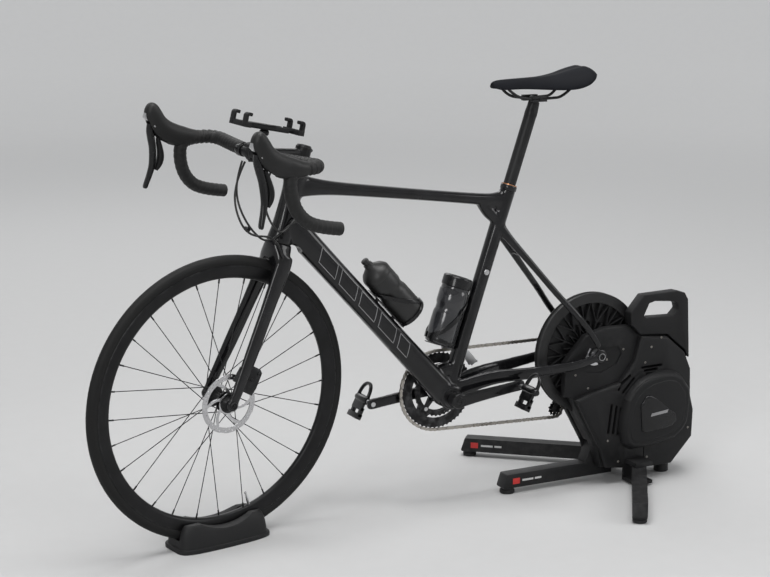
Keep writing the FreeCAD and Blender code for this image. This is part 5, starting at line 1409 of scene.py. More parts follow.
def arm_shells(eye, y, boss_in, boss_out):
    run = (eye - BB).normalized()
    start = BB - run * 4
    rows = [(*(Vector((p.x, y, p.z))), deep, wide) for p, deep, wide in (
        (start, 37, 13), (BB.lerp(eye, 0.18), 31, 13.4), (BB.lerp(eye, 0.5), 27, 13),
        (BB.lerp(eye, 0.85), 25.5, 12.6), (eye, 26, 12.6), (eye + run * 10, 21, 12), (eye + run * 13, 12,
                                                                                      10))]
    boss = rod(Vector((BB.x, boss_in, BB.z)), Vector((BB.x, boss_out, BB.z)), 19, 40, 2)
    return [moulded(rows, 6, 3.2), boss]


def build_cranks():
    left = melted(rough_object("left_crank", arm_shells(LEFT_EYE, -66, -39.4, -73)), 1.5, 4, 0.2)
    finish_piece(left, look("gloss_moulding"), "crank", ("crank_arm_left",), sharp=60)
    spider = []
    for quarter in range(4):
        x, z = about_bb(55, math.radians(45 + 90 * quarter))
        spot = Vector((x, RING_Y - 3.2, z))
        foot = Vector((BB.x, 52, BB.z))
        rows = [(*foot.lerp(spot, share), deep, wide) for share, deep, wide in (
            (0.1, 26, 12), (0.4, 20, 9), (0.75, 15, 6), (1.0, 15, 3.6), (1.12, 11, 3.4))]
        spider.append(moulded(rows, 4, 3.0, 24))
    shells = arm_shells(RIGHT_EYE, 64, 39.4, 71) + spider
    right = melted(rough_object("right_crank", shells), 1.5, 4, 0.2)
    finish_piece(right, look("gloss_moulding"), "crank", ("crank_arm_right",), sharp=60)
    caps = [lathe(Vector((BB.x, 0, BB.z)), ACROSS, side, 32, True) for side in (
        [(-75.4, 5), (-75.4, 9), (-74, 11), (-72, 11), (-72, 5)],
        [(70, 5), (70, 12), (72, 12), (73.4, 9), (73.4, 5)])]
    piece_of("crank_caps", caps, look("satin_metal"), "crank")
    for eye, side, name in ((LEFT_EYE, -1, "left"), (RIGHT_EYE, 1, "right")):
        turn = flipped if side < 0 else tuple
        placed = [moved(turn(one), lambda point: point + Vector((eye.x, 0, eye.z)))
                  for one in pedal_shells()]
        piece_of("clip_pedal_" + name, placed, look("gloss_moulding"), "pedal_" + name, ("pedal_" + name,),
                 bevel=1.0)


def pedal_shells():
    """A clip pedal at the origin: body, rear clip, tension screw and pointed front loop."""
    middle = 119.0
    body = lathe(ORIGIN, ACROSS, [(88, 6.3), (88, 8.5), (92, 9.5), (96, 10.8), (134, 10.8), (142, 10),
                                  (149, 7), (149.6, 3), (149.6, 0), (146, 0), (146, 6.3)], 28)
    loop = points_at(Vector((0, middle, 0)), ((2, -25, 1), (16, -25, 1), (33, -19, 1), (41, -8, 0),
                                              (42, 0, 0), (41, 8, 0), (33, 19, 1), (16, 25, 1), (2, 25, 1)))
    nose = band(even_path(eased_path(loop, 6), 3), 8, 7, lambda index: UPWARD)
    deck = block((-28, middle - 24, -1), (8, middle + 24, 6.4))
    rear = block((-51, middle - 24, -6.6), (-37, middle + 24, 9.4))
    arms = [block((-44, middle + y0, -4.6), (-20, middle + y1, 4.6)) for y0, y1 in ((-24, -14), (14, 24))]
    screw = rod(Vector((-51.5, middle, 1)), Vector((-46, middle, 1)), 4, 16)
    shells = [body, nose, deck, rear, screw, *arms]
    return [tilted(shell, ORIGIN, -62) for shell in shells]


def arc_band(centre, inner, outer, angles):
    """The outline of part of a ring, out along its outer edge and back along its inner one."""
    far = [(centre.x + outer * math.cos(a), centre.z + outer * math.sin(a)) for a in angles]
    return far + [(centre.x + inner * math.cos(a), centre.z + inner * math.sin(a)) for a in reversed(angles)]


def ring_arc(y0, y1, inner, outer, first, last):
    """Part of a flat ring about the bottom bracket."""
    steps = 16
    angles = [math.radians(first + (last - first) * step / steps) for step in range(steps + 1)]
    return plate(arc_band(BB, inner, outer, angles), y0, y1)


def build_derailleurs():
    big = pitch_radius(RING_TEETH)
    cage = [ring_arc(RING_Y - 9, RING_Y - 7.6, big + 7, big + 25, 30, 86),
            ring_arc(RING_Y + 7.4, RING_Y + 8.8, big + 7, big + 22, 28, 82)]
    tail = BB + Vector((big + 8, 0, 64))
    bridge = block((tail.x - 3, RING_Y - 9, tail.z - 3), (tail.x + 2, RING_Y + 8.8, tail.z + 3))
    piece_of("front_derailleur_cage", cage + [bridge], look("bare_metal"), FIXED,
             ("front_derailleur",), bevel=0.5)
    links = [rod(BB + Vector((x, 20, z)), BB + Vector((x + 4, RING_Y - 9, z + 2)), 5, 20)
             for x, z in ((38, big + 12), (52, big + 20))]
    body = moulded(rows_at(BB, ((30, 24, big + 12, 14, 12), (44, 25, big + 18, 18, 15),
                                (58, 24, big + 22, 12, 12))), 4, 2.6)
    piece_of("front_derailleur_body", [body, *links], look("satin_metal"), FIXED,
             bevel=0.6)
    up, low = UPPER_JOCKEY, LOWER_JOCKEY
    outline = [(up.x + 9, up.z + 10), (up.x - 3, up.z + 13), (up.x - 11, up.z + 6), (low.x - 10, low.z + 3),
               (low.x - 8, low.z - 7), (low.x + 1, low.z - 10), (low.x + 9, low.z - 4), (up.x + 2, up.z - 14),
               (up.x + 12, up.z - 2)]
    middle = up.lerp(low, 0.5)
    window = [(middle.x - 4, middle.z + 14), (middle.x - 9, middle.z - 12), (middle.x - 3, middle.z - 16),
              (middle.x + 5, middle.z + 10)]
    sides = [plate(outline, y, y + 2, [window]) for y in (COG_Y + 4.6, COG_Y - 6.6)]
    axles = [lathe(centre, ACROSS, [(COG_Y - 7, 0), (COG_Y - 7, 2.4), (COG_Y + 6.6, 2.4),
                                               (COG_Y + 6.6, 4.4), (COG_Y + 8.4, 4), (COG_Y + 8.4, 0)], 20)
             for centre in (up, low)]
    knuckle = rod(Vector((-4, COG_Y + 4.6, 269)), Vector((-4, COG_Y + 24.6, 269)), 12, 32, 2)
    arm = plate([(up.x - 7, up.z - 6), (up.x + 11, up.z - 4), (8, 274), (0, 282), (-14, 276)],
                COG_Y + 4.8, COG_Y + 7.4)
    body = moulded([(-8, 77, 268, 22, 13), (2, 78, 288, 26, 15), (10, 78, 308, 24, 14),
                    (7, 77, 324, 17, 12)], 5, 2.8)
    hanger = plate([(-13, 335), (12, 334), (17, 306), (8, 302), (0, 312)], 69, 75.5)
    bolt = rod(Vector((5, 74, 318)), Vector((5, 85, 318)), 6.5, 24)
    piece_of("rear_derailleur_cage", [*sides, *axles, knuckle, arm, body, hanger, bolt], look("satin_metal"),
             FIXED, ("rear_derailleur",), bevel=0.7)
    for centre, name in ((up, "upper"), (low, "lower")):
        holes = [circle(x, z, 2, 8) for x, z in circle(centre.x, centre.z, 11.6, 6)]
        wheel = plate(toothed(centre, JOCKEY_TEETH), COG_Y - 0.9, COG_Y + 0.9,
                      [circle(centre.x, centre.z, 2.7, 16), *holes])
        hub = washer(centre, 2.7, 7.6, COG_Y - 3, COG_Y + 3, 24)
        piece_of("jockey_wheel_" + name, [wheel, hub], look("gloss_moulding"), "jockey_" + name,
                 ("jockey_" + name,), sharp=30)


# ---- Saddle and bottles ------------------------------------------------------------------------

# Share of the length, low edge, high edge, half the width, and the depth of the channel.
SADDLE_ROWS = ((0.0, 40, 53, 8, 0.0), (0.03, 34, 57, 15, 0.0), (0.1, 30, 60, 19, 0.4),
               (0.3, 29, 63, 22, 1.6), (0.5, 25, 65.5, 34, 3.0), (0.66, 22, 71, 54, 4.2),
               (0.78, 24, 79, 68, 5.0), (0.88, 33, 85, 71, 6.0), (0.95, 47, 87, 66, 5.0),
               (1.0, 60, 84, 52, 1.5))
SADDLE_LENGTH = 268
RAIL_LIFT = Vector((0, 0, 9))
POST_TOP = 748
POST_FOOT = SEAT_TUBE_LENGTH - 180


def build_saddle():
    """The saddle's padded cover, with a channel along its middle and two lobes behind."""
    clamp = SADDLE_CLAMP
    nose = clamp.x - 0.45 * SADDLE_LENGTH
    rings = []
    for place, low, high, half, dip in smooth_rows(SADDLE_ROWS, 7):
        ring = []
        for step in range(48):
            angle = 2 * math.pi * step / 48
            across = math.copysign(abs(math.cos(angle)) ** 0.8, math.cos(angle))
            up = math.sin(angle)
            bend = 0.5 * (high - low)
            channel = dip * math.exp(-(across * half / 9) ** 2) if up > 0 else 0.0
            thick = (high - low - bend) / 2
            height = high - thick + thick * math.copysign(abs(up) ** 0.8, up) - bend * abs(across) ** 2.3
            height -= channel
            ahead = 7 * max(0.0, place - 0.9) / 0.1 * (1 - abs(across) ** 2)
            ring.append(Vector((nose + place * SADDLE_LENGTH - ahead, half * across, clamp.z + height)))
        rings.append(ring)
    piece = rough_object("saddle_cushion", [loft(rings)])
    smooth = piece.modifiers.new("Smooth", "SUBSURF")
    smooth.levels = smooth.render_levels = 1
    settle(piece)
    finish_piece(piece, look("saddle_cover"), "saddle", ("saddle_pad",), sharp=70)
    clamp = clamp + RAIL_LIFT
    rail = points_at(Vector((nose, 0, clamp.z)), ((38, 16, 28), (56, 20, 10), (92, 22, 2)))
    rail += points_at(clamp, ((30, 22, 2), (70, 25, 4), (100, 34, 40)))
    jaws = [block((clamp.x - 20, 15.5, clamp.z - 5), (clamp.x + 20, 28, clamp.z + 1)),
            block((clamp.x - 20, 15.5, clamp.z + 3), (clamp.x + 20, 28, clamp.z + 9))]
    rails = both([tube(even_path(eased_path(rail, 14), 4), 3.5, 12), *jaws])
    bolt = rod(clamp + Vector((0, -31, 2)), clamp + Vector((0, 31, 2)), 3.4, 20)
    piece_of("saddle_rail_pair", [*rails, bolt], look("painted_steel"), "saddle", ("saddle_rails",),
             bevel=0.8)
    length = POST_TOP - 26 - POST_FOOT
    post = lathe(on_seat(POST_FOOT), SEAT_DIR, [(0, 0), (0, 15.3), (length, 15.4), (length, 0)], 48)
    neck = moulded([(*on_seat(POST_TOP - 34), 30.8, 30.8), (*on_seat(POST_TOP - 24), 31, 30),
                    (*on_seat(POST_TOP - 14), 30, 27), (*(clamp - Vector((0, 0, 6))), 26, 28)], 5, 2.2)
    yoke = rod(clamp - Vector((0, 15, 0)), clamp + Vector((0, 15, 0)), 8, 32)
    piece = melted(rough_object("seatpost_mast", [post, neck, yoke]), 1.6, 4, 0.0)
    finish_piece(piece, look("painted_steel"), "seatpost", ("seatpost",), sharp=60)


BOTTLE_R = 36.5
CAGE_DEPTH = 5 + 2.5 + 0.6


def bottle_frame():
    """Foot, direction and outward side of the bottle and of the canister."""
    away = Vector((DOWN_DIR.z, 0, -DOWN_DIR.x))
    first = BB + DOWN_DIR * 222 + away * (28 + CAGE_DEPTH + BOTTLE_R)
    back = Vector((-SEAT_DIR.z, 0, SEAT_DIR.x))
    second = on_seat(118) + back * (18 + CAGE_DEPTH + BOTTLE_R)
    return (first, DOWN_DIR, away), (second, SEAT_DIR, back)


def cage_shells(foot, run, away):
    """A wrap-round cage: a spine, a toe, and two curved arms that meet over the bottle."""
    radius = BOTTLE_R + 0.6 + 1.5

    def round_the_bottle(turned, height):
        return foot + run * height + (-away * math.cos(turned) + ACROSS * math.sin(turned)) * radius
    spine = [foot - away * (radius + 0.4) + run * height for height in (-3, 20, 60, 100, 128)]
    shells = [band(even_path(eased_path(spine, 8), 6), 17, 3)]
    for turn in (-1, 1):
        arm = [round_the_bottle(turn * math.radians(18 + 152 * share),
                                112 - 96 * math.sin(share * math.pi * 0.5) ** 1.5)
               for share in (step / 24 for step in range(25))]
        shells.append(band(arm, 11, 2.6, lambda index: run))
        low = [round_the_bottle(turn * math.radians(10 + 160 * step / 16), 4 + 9 * step / 16)
               for step in range(17)]
        shells.append(band(low, 9, 2.6, lambda index: run))
    toe = [foot - away * radius - run * 2.4, foot - away * 20 - run * 2.6, foot + away * 12 - run * 2.4,
           foot + away * (radius - 3) - run * 1.6]
    shells.append(band(even_path(toe, 6), 15, 2.2))
    return shells


def build_bottles():
    (foot, run, away), (can_foot, can_run, can_away) = bottle_frame()
    shells = cage_shells(foot, run, away) + cage_shells(can_foot, can_run, can_away)
    bolts = []
    for base, direction, out in ((foot, run, away), (can_foot, can_run, can_away)):
        for height in (32, 96):
            at = base + direction * height - out * 37.0
            bolts.append(rod(at, at - out * 9, 5, 16))
    piece_of("bottle_cage_pair", shells + bolts, look("gloss_moulding"), FIXED, ("bottle_cages",))
    r = BOTTLE_R
    flask = [(0, 0), (0, r - 6), (1, r - 3), (4, r - 0.6), (8, r), (74, r), (80, r - 1), (84, r - 2.6),
             (95, r - 2.6), (99, r - 1), (104, r), (134, r)]
    body = [*flask, (138, r - 0.8)]
    lid = [(136, r - 3), (136, r - 0.4), (138, r + 0.3), (147, r + 0.3), (150, r - 1), (158, r - 6),
           (165, r - 15), (170, 15), (172, 12), (180, 11), (181, 8.4), (186, 8.4), (187, 9.4), (192.5, 9),
           (193.8, 6), (193.8, 0)]
    piece_of("bottle_body", [lathe(foot, run, body, 64)], look("soft_bottle"), "bottle", ("bottle",),
             sharp=50)
    piece_of("bottle_lid", [lathe(foot, run, lid, 64)], look("soft_bottle"), "bottle")
    can = [*flask, (136, r - 2), (144, r - 2), (144, 0)]
    piece_of("canister_body", [lathe(can_foot, can_run, can, 64)], smoked_plastic(), "canister",
             ("canister",), sharp=50)
    top = [(144.4, 0), (144.4, r - 1.4), (146, r + 0.3), (167, r), (170, r - 1.6), (171.6, r - 5),
           (171.8, r - 9), (169, r - 10), (169, 0)]
    piece_of("canister_lid", [lathe(can_foot, can_run, top, 64)], look("gloss_moulding"), "canister")
    rib = rod(can_foot + can_run * 146 - can_away * (r - 0.4),
              can_foot + can_run * 168 - can_away * (r - 0.6),
              0.7, 6)
    ribs = [moved(rib, lambda point, s=step: can_foot + Quaternion(can_run, 2 * math.pi / 40 * s)
                  @ (point - can_foot)) for step in range(40)]
    piece_of("canister_lid_grip", ribs, look("gloss_moulding"), "canister")


# ---- Trainer -----------------------------------------------------------------------------------

LEG_X = 113.0
CENTRE_FOOT = -226.0
SHELL = [(-90, 335), (-90, 244), (-73, 242), (7, 99), (24, 43), (134, 27), (235, 26), (303, 94),
         (305, 172), (294, 212), (291, 285), (270, 332), (212, 380), (128, 388), (104, 412), (28, 413),
         (-30, 398)]
RAISED = [(-66, 238), (8, 102), (27, 46), (135, 30), (234, 29), (299, 96), (301, 170), (290, 210),
          (287, 283), (267, 328), (210, 376), (130, 384), (112, 322), (70, 268), (-20, 252)]
HANDLE = [(100, 395), (97, 447), (135, 490), (238, 492), (263, 485), (274, 467), (283, 310), (236, 350)]
HANDLE_HOLE = [(137, 435), (153, 467), (171, 471), (230, 465), (242, 456), (245, 443), (229, 427),
               (146, 430)]


def drawn_in(outline, by):
    """An outline moved inwards by a margin, corner by corner."""
    count = len(outline)
    area = sum(a[0] * b[1] - b[0] * a[1] for a, b in zip(outline, outline[1:] + outline[:1]))
    hand = 1 if area > 0 else -1
    result = []
    for index, (x, z) in enumerate(outline):
        before, after = outline[index - 1], outline[(index + 1) % count]
        u = Vector((x - before[0], z - before[1])).normalized()
        v = Vector((after[0] - x, after[1] - z)).normalized()
        n1, n2 = Vector((-u.y, u.x)) * hand, Vector((-v.y, v.x)) * hand
        middle = (n1 + n2).normalized()
        step = by / max(0.35, middle.dot(n1))
        result.append((x + middle.x * step, z + middle.y * step))
    return result


def in_outline(x, z, outline):
    """Whether a place lies inside an outline."""
    inside = False
    for (x0, z0), (x1, z1) in zip(outline, outline[1:] + outline[:1]):
        if (z0 > z) != (z1 > z) and x < (x1 - x0) * (z - z0) / (z1 - z0) + x0:
            inside = not inside
    return inside


def faceted(outline, levels):
    """A shell whose outline is drawn in by a margin at each Y level."""
    rings = [[Vector((x, y, z)) for x, z in drawn_in(outline, by)] for y, by in levels]
    return loft(rings)


def leg_room():
    """What the side legs' pivots take out of the shells."""
    return block((LEG_X - 31, -100, 0), (LEG_X + 31, 100, 97))


def chassis_room():
    """What the chassis's foot takes out of the shells."""
    return block((-300, -20, 0), (81, 20, 113))


def shell_piece(name, shells, cutters, bevel, segments, angle, replaced, sharp):
    """A piece of the trainer's housing, cut, softened and finished."""
    piece = bevelled(cut_out(rough_object(name, shells), cutters), bevel, segments, angle)
    finish_piece(piece, look("shell_plastic"), FIXED, replaced, sharp=sharp)


def slot_cutter(x0, z0, x1, z1, wide, y0, y1):
    """A rounded slot between two places."""
    run = Vector((x1 - x0, 0, z1 - z0))
    base = math.atan2(run.z, run.x)
    outline = [(x1 + wide / 2 * math.cos(base - math.pi / 2 + math.pi * step / 6),
                z1 + wide / 2 * math.sin(base - math.pi / 2 + math.pi * step / 6)) for step in range(7)]
    outline += [(x0 + wide / 2 * math.cos(base + math.pi / 2 + math.pi * step / 6),
                 z0 + wide / 2 * math.sin(base + math.pi / 2 + math.pi * step / 6)) for step in range(7)]
    return plate(outline, y0, y1)


def build_trainer_left():
    """The left shell: its low face, the raised cover, the vents and the recess round the axle."""
    lens = [(-19, 366), (68, 362), (80, 342), (63, 314), (17, 297), (-29, 303), (-44, 316)]
    shell_piece("trainer_shell_left", [faceted(SHELL, [(-3, 0), (-44, 0), (-48.5, 1.5), (-50, 5)])],
                [rod(REAR - Vector((0, 30, 0)), REAR, DISC_R + 3, 96),
                 rod(REAR - Vector((0, 80, 0)), REAR, 17, 48), rod(MOTOR - Vector((0, 48, 0)), MOTOR, 90, 96),
                 plate(lens, -54, -46), leg_room(), chassis_room()],
                0.9, 2, 40, ("trainer_cover_left",), 25)
    vents = [slot_cutter(x0, z0, x1, z1, 7.5, -74, -51.5) for x0, z0, x1, z1 in (
        (40, 213, 31, 141), (55, 208, 46, 138), (69, 200, 62, 135), (94, 285, 60, 252), (105, 276, 74, 243),
        (115, 265, 86, 237), (131, 302, 190, 303), (139, 293, 176, 294), (146, 284, 184, 281))]
    shell_piece("trainer_shell_raised", [faceted(RAISED, [(-47, 1), (-62, 1), (-68, 4), (-70, 9)])],
                [*vents, rod(REAR - Vector((0, 100, 0)), REAR, 60, 64),
                 rod(MOTOR - Vector((0, 69.5, 0)), MOTOR, 90, 96), leg_room()], 0.8, 2, 40, (), 25)


def build_trainer_rest():
    """The right shell, the motor's cover with its badge, the handle and the screws."""
    shell_piece("trainer_shell_right", [faceted(SHELL, [(11, 0), (25, 0), (29, 1.5), (30, 4)])],
                [rod(REAR, REAR + Vector((0, 40, 0)), 70, 64), leg_room(), chassis_room()],
                0.9, 2, 40, ("trainer_cover_right",), 25)
    rim = [(72, 173), (70, 140), (78, 112), (98, 98), (140, 99), (179, 103), (227, 111), (250, 128),
           (263, 147),
           (268, 180), (270, 217), (265, 236), (255, 248), (243, 265), (227, 275), (206, 280), (185, 280),
           (150, 275), (122, 264), (100, 246), (83, 223)]
    cover = faceted(rim, [(-66, -9), (-76, -7), (-84, -4), (-89.5, 0), (-91.6, 5)])
    inner = faceted(drawn_in(rim, 14), [(-91, 0), (-93, 1.5)])
    shell_piece("motor_shell", [cover, inner], [rod(MOTOR - Vector((0, 89, 0)), MOTOR, 89.5, 96)],
                1.0, 2, 30, ("motor_cover",), 16)
    boss = [(112, 210), (127, 231), (141, 234), (162, 224), (222, 176), (226, 155), (209, 142), (131, 135),
            (118, 140)]
    badge = faceted(boss, [(-91.5, 0), (-95.6, 0.8), (-97.6, 3)])
    piece_of("motor_badge_plate", [badge], look("gloss_moulding"), FIXED, bevel=1.2,
             sharp=25)
    bar = plate([(142, 177), (194, 182), (197, 190), (145, 185)], -97.9, -97.4)
    piece_of("motor_badge_bar", [bar], look("silver_print"), FIXED)
    shell_piece("trainer_grip", [plate(HANDLE, -62, -32, [HANDLE_HOLE])],
                [plate(SHELL, -80, 10), rod(REAR - Vector((0, 30, 0)), REAR, DISC_R + 3, 96)],
                4.0, 3, 30, ("trainer_handle",), 35)
    build_screws()


def build_screws():
    """Cover screws set out along the shells' edges."""
    places = [(x, z, -70 if in_outline(x, z, RAISED) else -50) for x, z in (
        (187, 376), (157, 354), (139, 315), (-21, 261), (-53, 194), (84, 352), (34, 330), (-60, 300))]
    places += [(x, z, -70) for x, z in ((272, 203), (281, 123), (153, 60), (239, 239), (30, 120), (64, 60))]
    places = [(x, z, y) for x, z, y in places if in_outline(x, z, drawn_in(SHELL, 6))]
    heads = []
    for x, z, y in places:
        centre = Vector((x, 0, z))
        head = [(-y - 1, 0), (-y - 1, 2.9), (-y + 0.5, 2.9), (-y + 1, 2.3), (-y + 1, 1.3), (-y - 0.2, 1.3),
                (-y - 0.2, 0)]
        heads.append(lathe(centre, -ACROSS, head, 12))
    piece_of("shell_screws", heads, look("oiled_steel"), FIXED, ("cover_screws",),
             sharp=30)


def build_disc():
    """The large belt disc: a banded rim, a ribbed web and the sleeve that carries the cassette."""
    profile = [(-25, 131), (-25, 154), (-24, 155), (-22, 155), (-21, 152), (-9, 152), (-8, 155), (-6, 155),
               (-5, 154), (-5, 131), (-8, 128), (-8, 42), (-6, 30), (-6, 17), (-25, 17), (-25, 30), (-24, 38),
               (-11, 42), (-11, 128), (-24, 129)]
    web = lathe(REAR, ACROSS, profile, 128, True)
    sleeve = washer(REAR, 6.2, 16, -28, 64, 48)
    # The disc takes the darker web finish, painted shade for the recess behind the ribs; the ribs keep the
    # shell plastic.
    piece_of("belt_disc", [web, sleeve], look("shaded_pocket_web"), "trainer_drive", ("drive_pulley",))
    cells = []
    for start, end, lean in ((36, 128, 0), (78, 127, 0.21), (78, 127, -0.21), (40, 80, 0.24),
                             (40, 80, -0.24)):
        a = REAR + Vector((start, -17, 0))
        b = REAR + Vector((end * math.cos(lean), -17, end * math.sin(lean)))
        rows = [(*a, 3, 13), (*a.lerp(b, 0.5), 3, 13), (*b, 3, 13)]
        cells.append(moulded(rows, 1, 4.0, 12))
    ribs = rough_object("belt_disc_ribs", cells)
    repeated(ribs, 14, REAR, (0, 2 * math.pi / 14, 0), finish=look("shell_plastic"))
    finish_piece(ribs, look("shell_plastic"), "trainer_drive")
    crescents = []
    for centre in (-105, 165):
        angles = [math.radians(centre - 34 + 68 * step / 12) for step in range(13)]
        crescents.append(plate(arc_band(REAR, 20, 29, angles), -47.4, -45.4))
    piece_of("hub_crescents", crescents, look("bare_metal"), FIXED)


def build_cassette():
    cogs = []
    for index, teeth in enumerate(COG_TEETH):
        y = COG_Y - index * COG_PITCH
        radius = pitch_radius(teeth)
        holes = [circle(0, REAR.z, 17, 32)]
        if radius > 34:
            for hole in range(8):
                angle = 2 * math.pi * (hole + 0.5 * (index % 2)) / 8
                holes.append(circle((radius - 13) * math.cos(angle), REAR.z + (radius - 13) * math.sin(angle),
                                    (radius - 25) * 0.28, 10))
        cogs.append(plate(toothed(REAR, teeth), y - 0.8, y + 0.8, holes))
        if index + 1 < len(COG_TEETH):
            cogs.append(washer(REAR, 16.5, 21, y - COG_PITCH + 0.8, y - 0.8, 32, 0.2))
    cogs.append(washer(REAR, 13, 19, COG_Y + 0.8, COG_Y + 4, 32))
    piece_of("cassette_cogs", cogs, look("bright_steel"), "trainer_drive", ("cassette",),
             sharp=30)


# ---- Legs and block ----------------------------------------------------------------------------

def leg_beam(length, wide=38.0):
    """A leg beam from its pivot along -X, with a slanted end and softened edges."""
    half = wide / 2
    side = [(-length - 19, 15.4), (-length - 21, 20), (-length - 11, 51), (-length - 8, 52), (0, 52), (0, 15)]
    return plate(side, -half + 0.4, half - 0.4)


def leg_place(angle, side):
    return Matrix.Translation((LEG_X / 1000, side * 0.094, 0)) @ Matrix.Rotation(-side * angle, 4, "Z")


def build_legs():
    """The two folding legs, the centre leg, their rubber feet and plain end patches."""
    for length, degrees, side, name in ((349, 40, 1, "right"), (292, 55.5, -1, "left")):
        place = place_shift() @ leg_place(math.radians(degrees), side)
        knuckle = lathe(ORIGIN, UPWARD, [(15, 7.1), (15, 18.4), (16, 19), (51, 19),
                                                              (52, 18.4), (52, 7.1)], 40, True)
        beam = rough_object("leg_beam_" + name, [leg_beam(length), knuckle])
        cut_out(beam, [rod(ORIGIN, Vector((0, 0, 70)), 7.1, 32)])
        bevelled(beam, 2.4, 3, 40)
        finish_piece(beam, look("painted_steel"), "leg_" + name, ("leg_" + name,), place=place)
        pad = lathe(Vector((-length, 0, 0)), UPWARD, foot_profile(18), 36)
        piece_of("leg_foot_" + name, [pad], look("block_plastic"), "leg_" + name,
                 place=place)
        if side > 0:
            build_patch("right", length, "leg_right", place)
    up = plate([(-4, 50), (22, 110), (56, 110), (30, 50)], -18.6, 18.6)
    tail = plate([(0, 15), (0, 52), (80, 52), (80, 15)], -18.6, 18.6)
    piece_of("centre_leg_beam", [leg_beam(-CENTRE_FOOT), tail, up], look("painted_steel"), FIXED,
             ("centre_leg",), bevel=2.2)
    build_patch("centre", -CENTRE_FOOT, FIXED, place_shift())
    pads = [lathe(Vector((CENTRE_FOOT, 0, 0)), UPWARD, foot_profile(19), 36),
            lathe(Vector((232, -25, 0)), UPWARD, [(0, 0), (0, 17), (2, 19), (22, 19), (27, 14),
                                                            (27, 0)], 36)]
    piece_of("centre_rubber_feet", pads, look("block_plastic"), FIXED, ("centre_feet",))


def foot_profile(radius):
    return [(0, 0), (0, radius - 2), (2, radius), (9, radius), (10, radius - 2), (15, radius - 2), (15, 0)]


def build_patch(name, length, body, place):
    """A plain red tab and a pale bar on a leg's left side, with no lettering."""
    low, high = 26, 41
    red = plate([(-length + 6, low), (-length + 26, low), (-length + 26, high), (-length + 6, high)],
                -19.3, -18.4)
    piece_of("leg_red_tab_" + name, [red], look("red_print"), body, place=place)
    pale = [plate([(-length + x0, 31), (-length + x1, 31), (-length + x1, 36), (-length + x0, 36)], -19.2,
                  -18.4)
            for x0, x1 in ((34, 66), (71, 90))]
    piece_of("leg_pale_bars_" + name, pale, look("white_print"), body, place=place)


def build_block():
    """The riser block: a flanged foot, dished sides with raised ends, and a groove for the tyre."""
    x0, x1, half = FRONT.x - 126, FRONT.x + 119, 56
    rings = []
    for z, shrink in ((0, 0.0), (8, 0.0), (10, 0.012), (10.4, 0.09), (24, 0.115), (44, 0.17), (58, 0.27),
                      (63, 0.34)):
        ring = []
        for step in range(72):
            angle = 2 * math.pi * step / 72
            c = math.copysign(abs(math.cos(angle)) ** 0.32, math.cos(angle))
            s = math.copysign(abs(math.sin(angle)) ** 0.32, math.sin(angle))
            x = (x0 + x1) / 2 + (x1 - x0) / 2 * c * (1 - shrink * 0.5)
            waist = 1.06 - 0.14 * abs(c) ** 2
            ring.append(Vector((x, half * s * waist * (1 - shrink), z)))
        rings.append(ring)
    piece = rough_object("riser_block_body", [loft(rings)])
    cut_out(piece, [lathe(FRONT, ACROSS, [(-21, 0), (-21, 340.6), (21, 340.6), (21, 0)], 256),
                    rod(Vector((FRONT.x, -100, 196)), Vector((FRONT.x, 100, 196)), 150, 128)])
    bevelled(piece, 1.6, 3, 40)
    finish_piece(piece, look("block_plastic"), "riser_block", ("riser_block",), 32,
                 place_block())


# ---- Studio ------------------------------------------------------------------------------------

def build_stage():
    """A pale seamless bowl, soft lights and the camera."""
    profile = [(0.0, 0.001), (6.0, 0.0), (7.6, 0.25), (8.8, 1.1), (9.4, 2.6), (9.6, 6.5)]
    points, faces = lathe(ORIGIN, UPWARD, [(max(h, 0.0), max(r, 0.001))
                                           for r, h in smooth_rows(profile, 6)], 96)
    mesh = bpy.data.meshes.new("studio_bowl")
    mesh.from_pydata(points, [], faces)
    bowl = bpy.data.objects.new("studio_bowl", mesh)
    bpy.context.scene.collection.objects.link(bowl)
    bowl.data.materials.append(studio_grey())
    bowl.data.shade_smooth()
    bm = bmesh.new()
    bm.from_mesh(mesh)
    bmesh.ops.remove_doubles(bm, verts=bm.verts[:], dist=1e-5)
    bmesh.ops.recalc_face_normals(bm, faces=bm.faces[:])
    if sum(face.normal.z for face in bm.faces) < 0:
        bmesh.ops.reverse_faces(bm, faces=bm.faces[:])
    bm.to_mesh(mesh)
    bm.free()
    looks = bpy.context.scene.bicycle_studio
    for name, place, size, power, aim in (
            ("overhead_softbox", (0.0, -0.4, 4.6), (3.2, 2.4), looks.overhead, (0, 0, 0.2)),
            ("left_softbox", (-3.6, -3.4, 3.0), (1.4, 2.4), looks.side, (0, 0, 0.5)),
            ("right_softbox", (3.8, -2.2, 2.6), (1.6, 2.6), looks.side * 0.6, (0.2, 0, 0.4)),
            ("rear_softbox", (0.6, 4.4, 3.6), (3.6, 2.0), looks.side * 0.8, (0, 0, 0.5))):
        light = bpy.data.lights.new(name, "AREA")
        light.shape = "RECTANGLE"
        light.size, light.size_y = size
        light.energy = power
        lamp = bpy.data.objects.new(name, light)
        lamp.location = place
        lamp.rotation_euler = (Vector(aim) - Vector(place)).to_track_quat("-Z", "Y").to_euler()
        bpy.context.scene.collection.objects.link(lamp)
    world = bpy.data.worlds.new("studio_air")
    world.use_nodes = True
    world.node_tree.nodes["Background"].inputs["Color"].default_value = (0.78, 0.79, 0.8, 1)
    world.node_tree.nodes["Background"].inputs["Strength"].default_value = looks.air
    bpy.context.scene.world = world
    bpy.context.scene.view_settings.view_transform = "Standard"
    data = bpy.data.cameras.new("studio_camera")
    data.lens = 80.2
    data.sensor_width = 36
    camera = bpy.data.objects.new("studio_camera", data)
    camera.location = (-1.8645, -3.577, 1.414)
    camera.rotation_euler = (math.pi / 2 - 0.209, 0, -0.468)
    bpy.context.scene.collection.objects.link(camera)
    bpy.context.scene.camera = camera


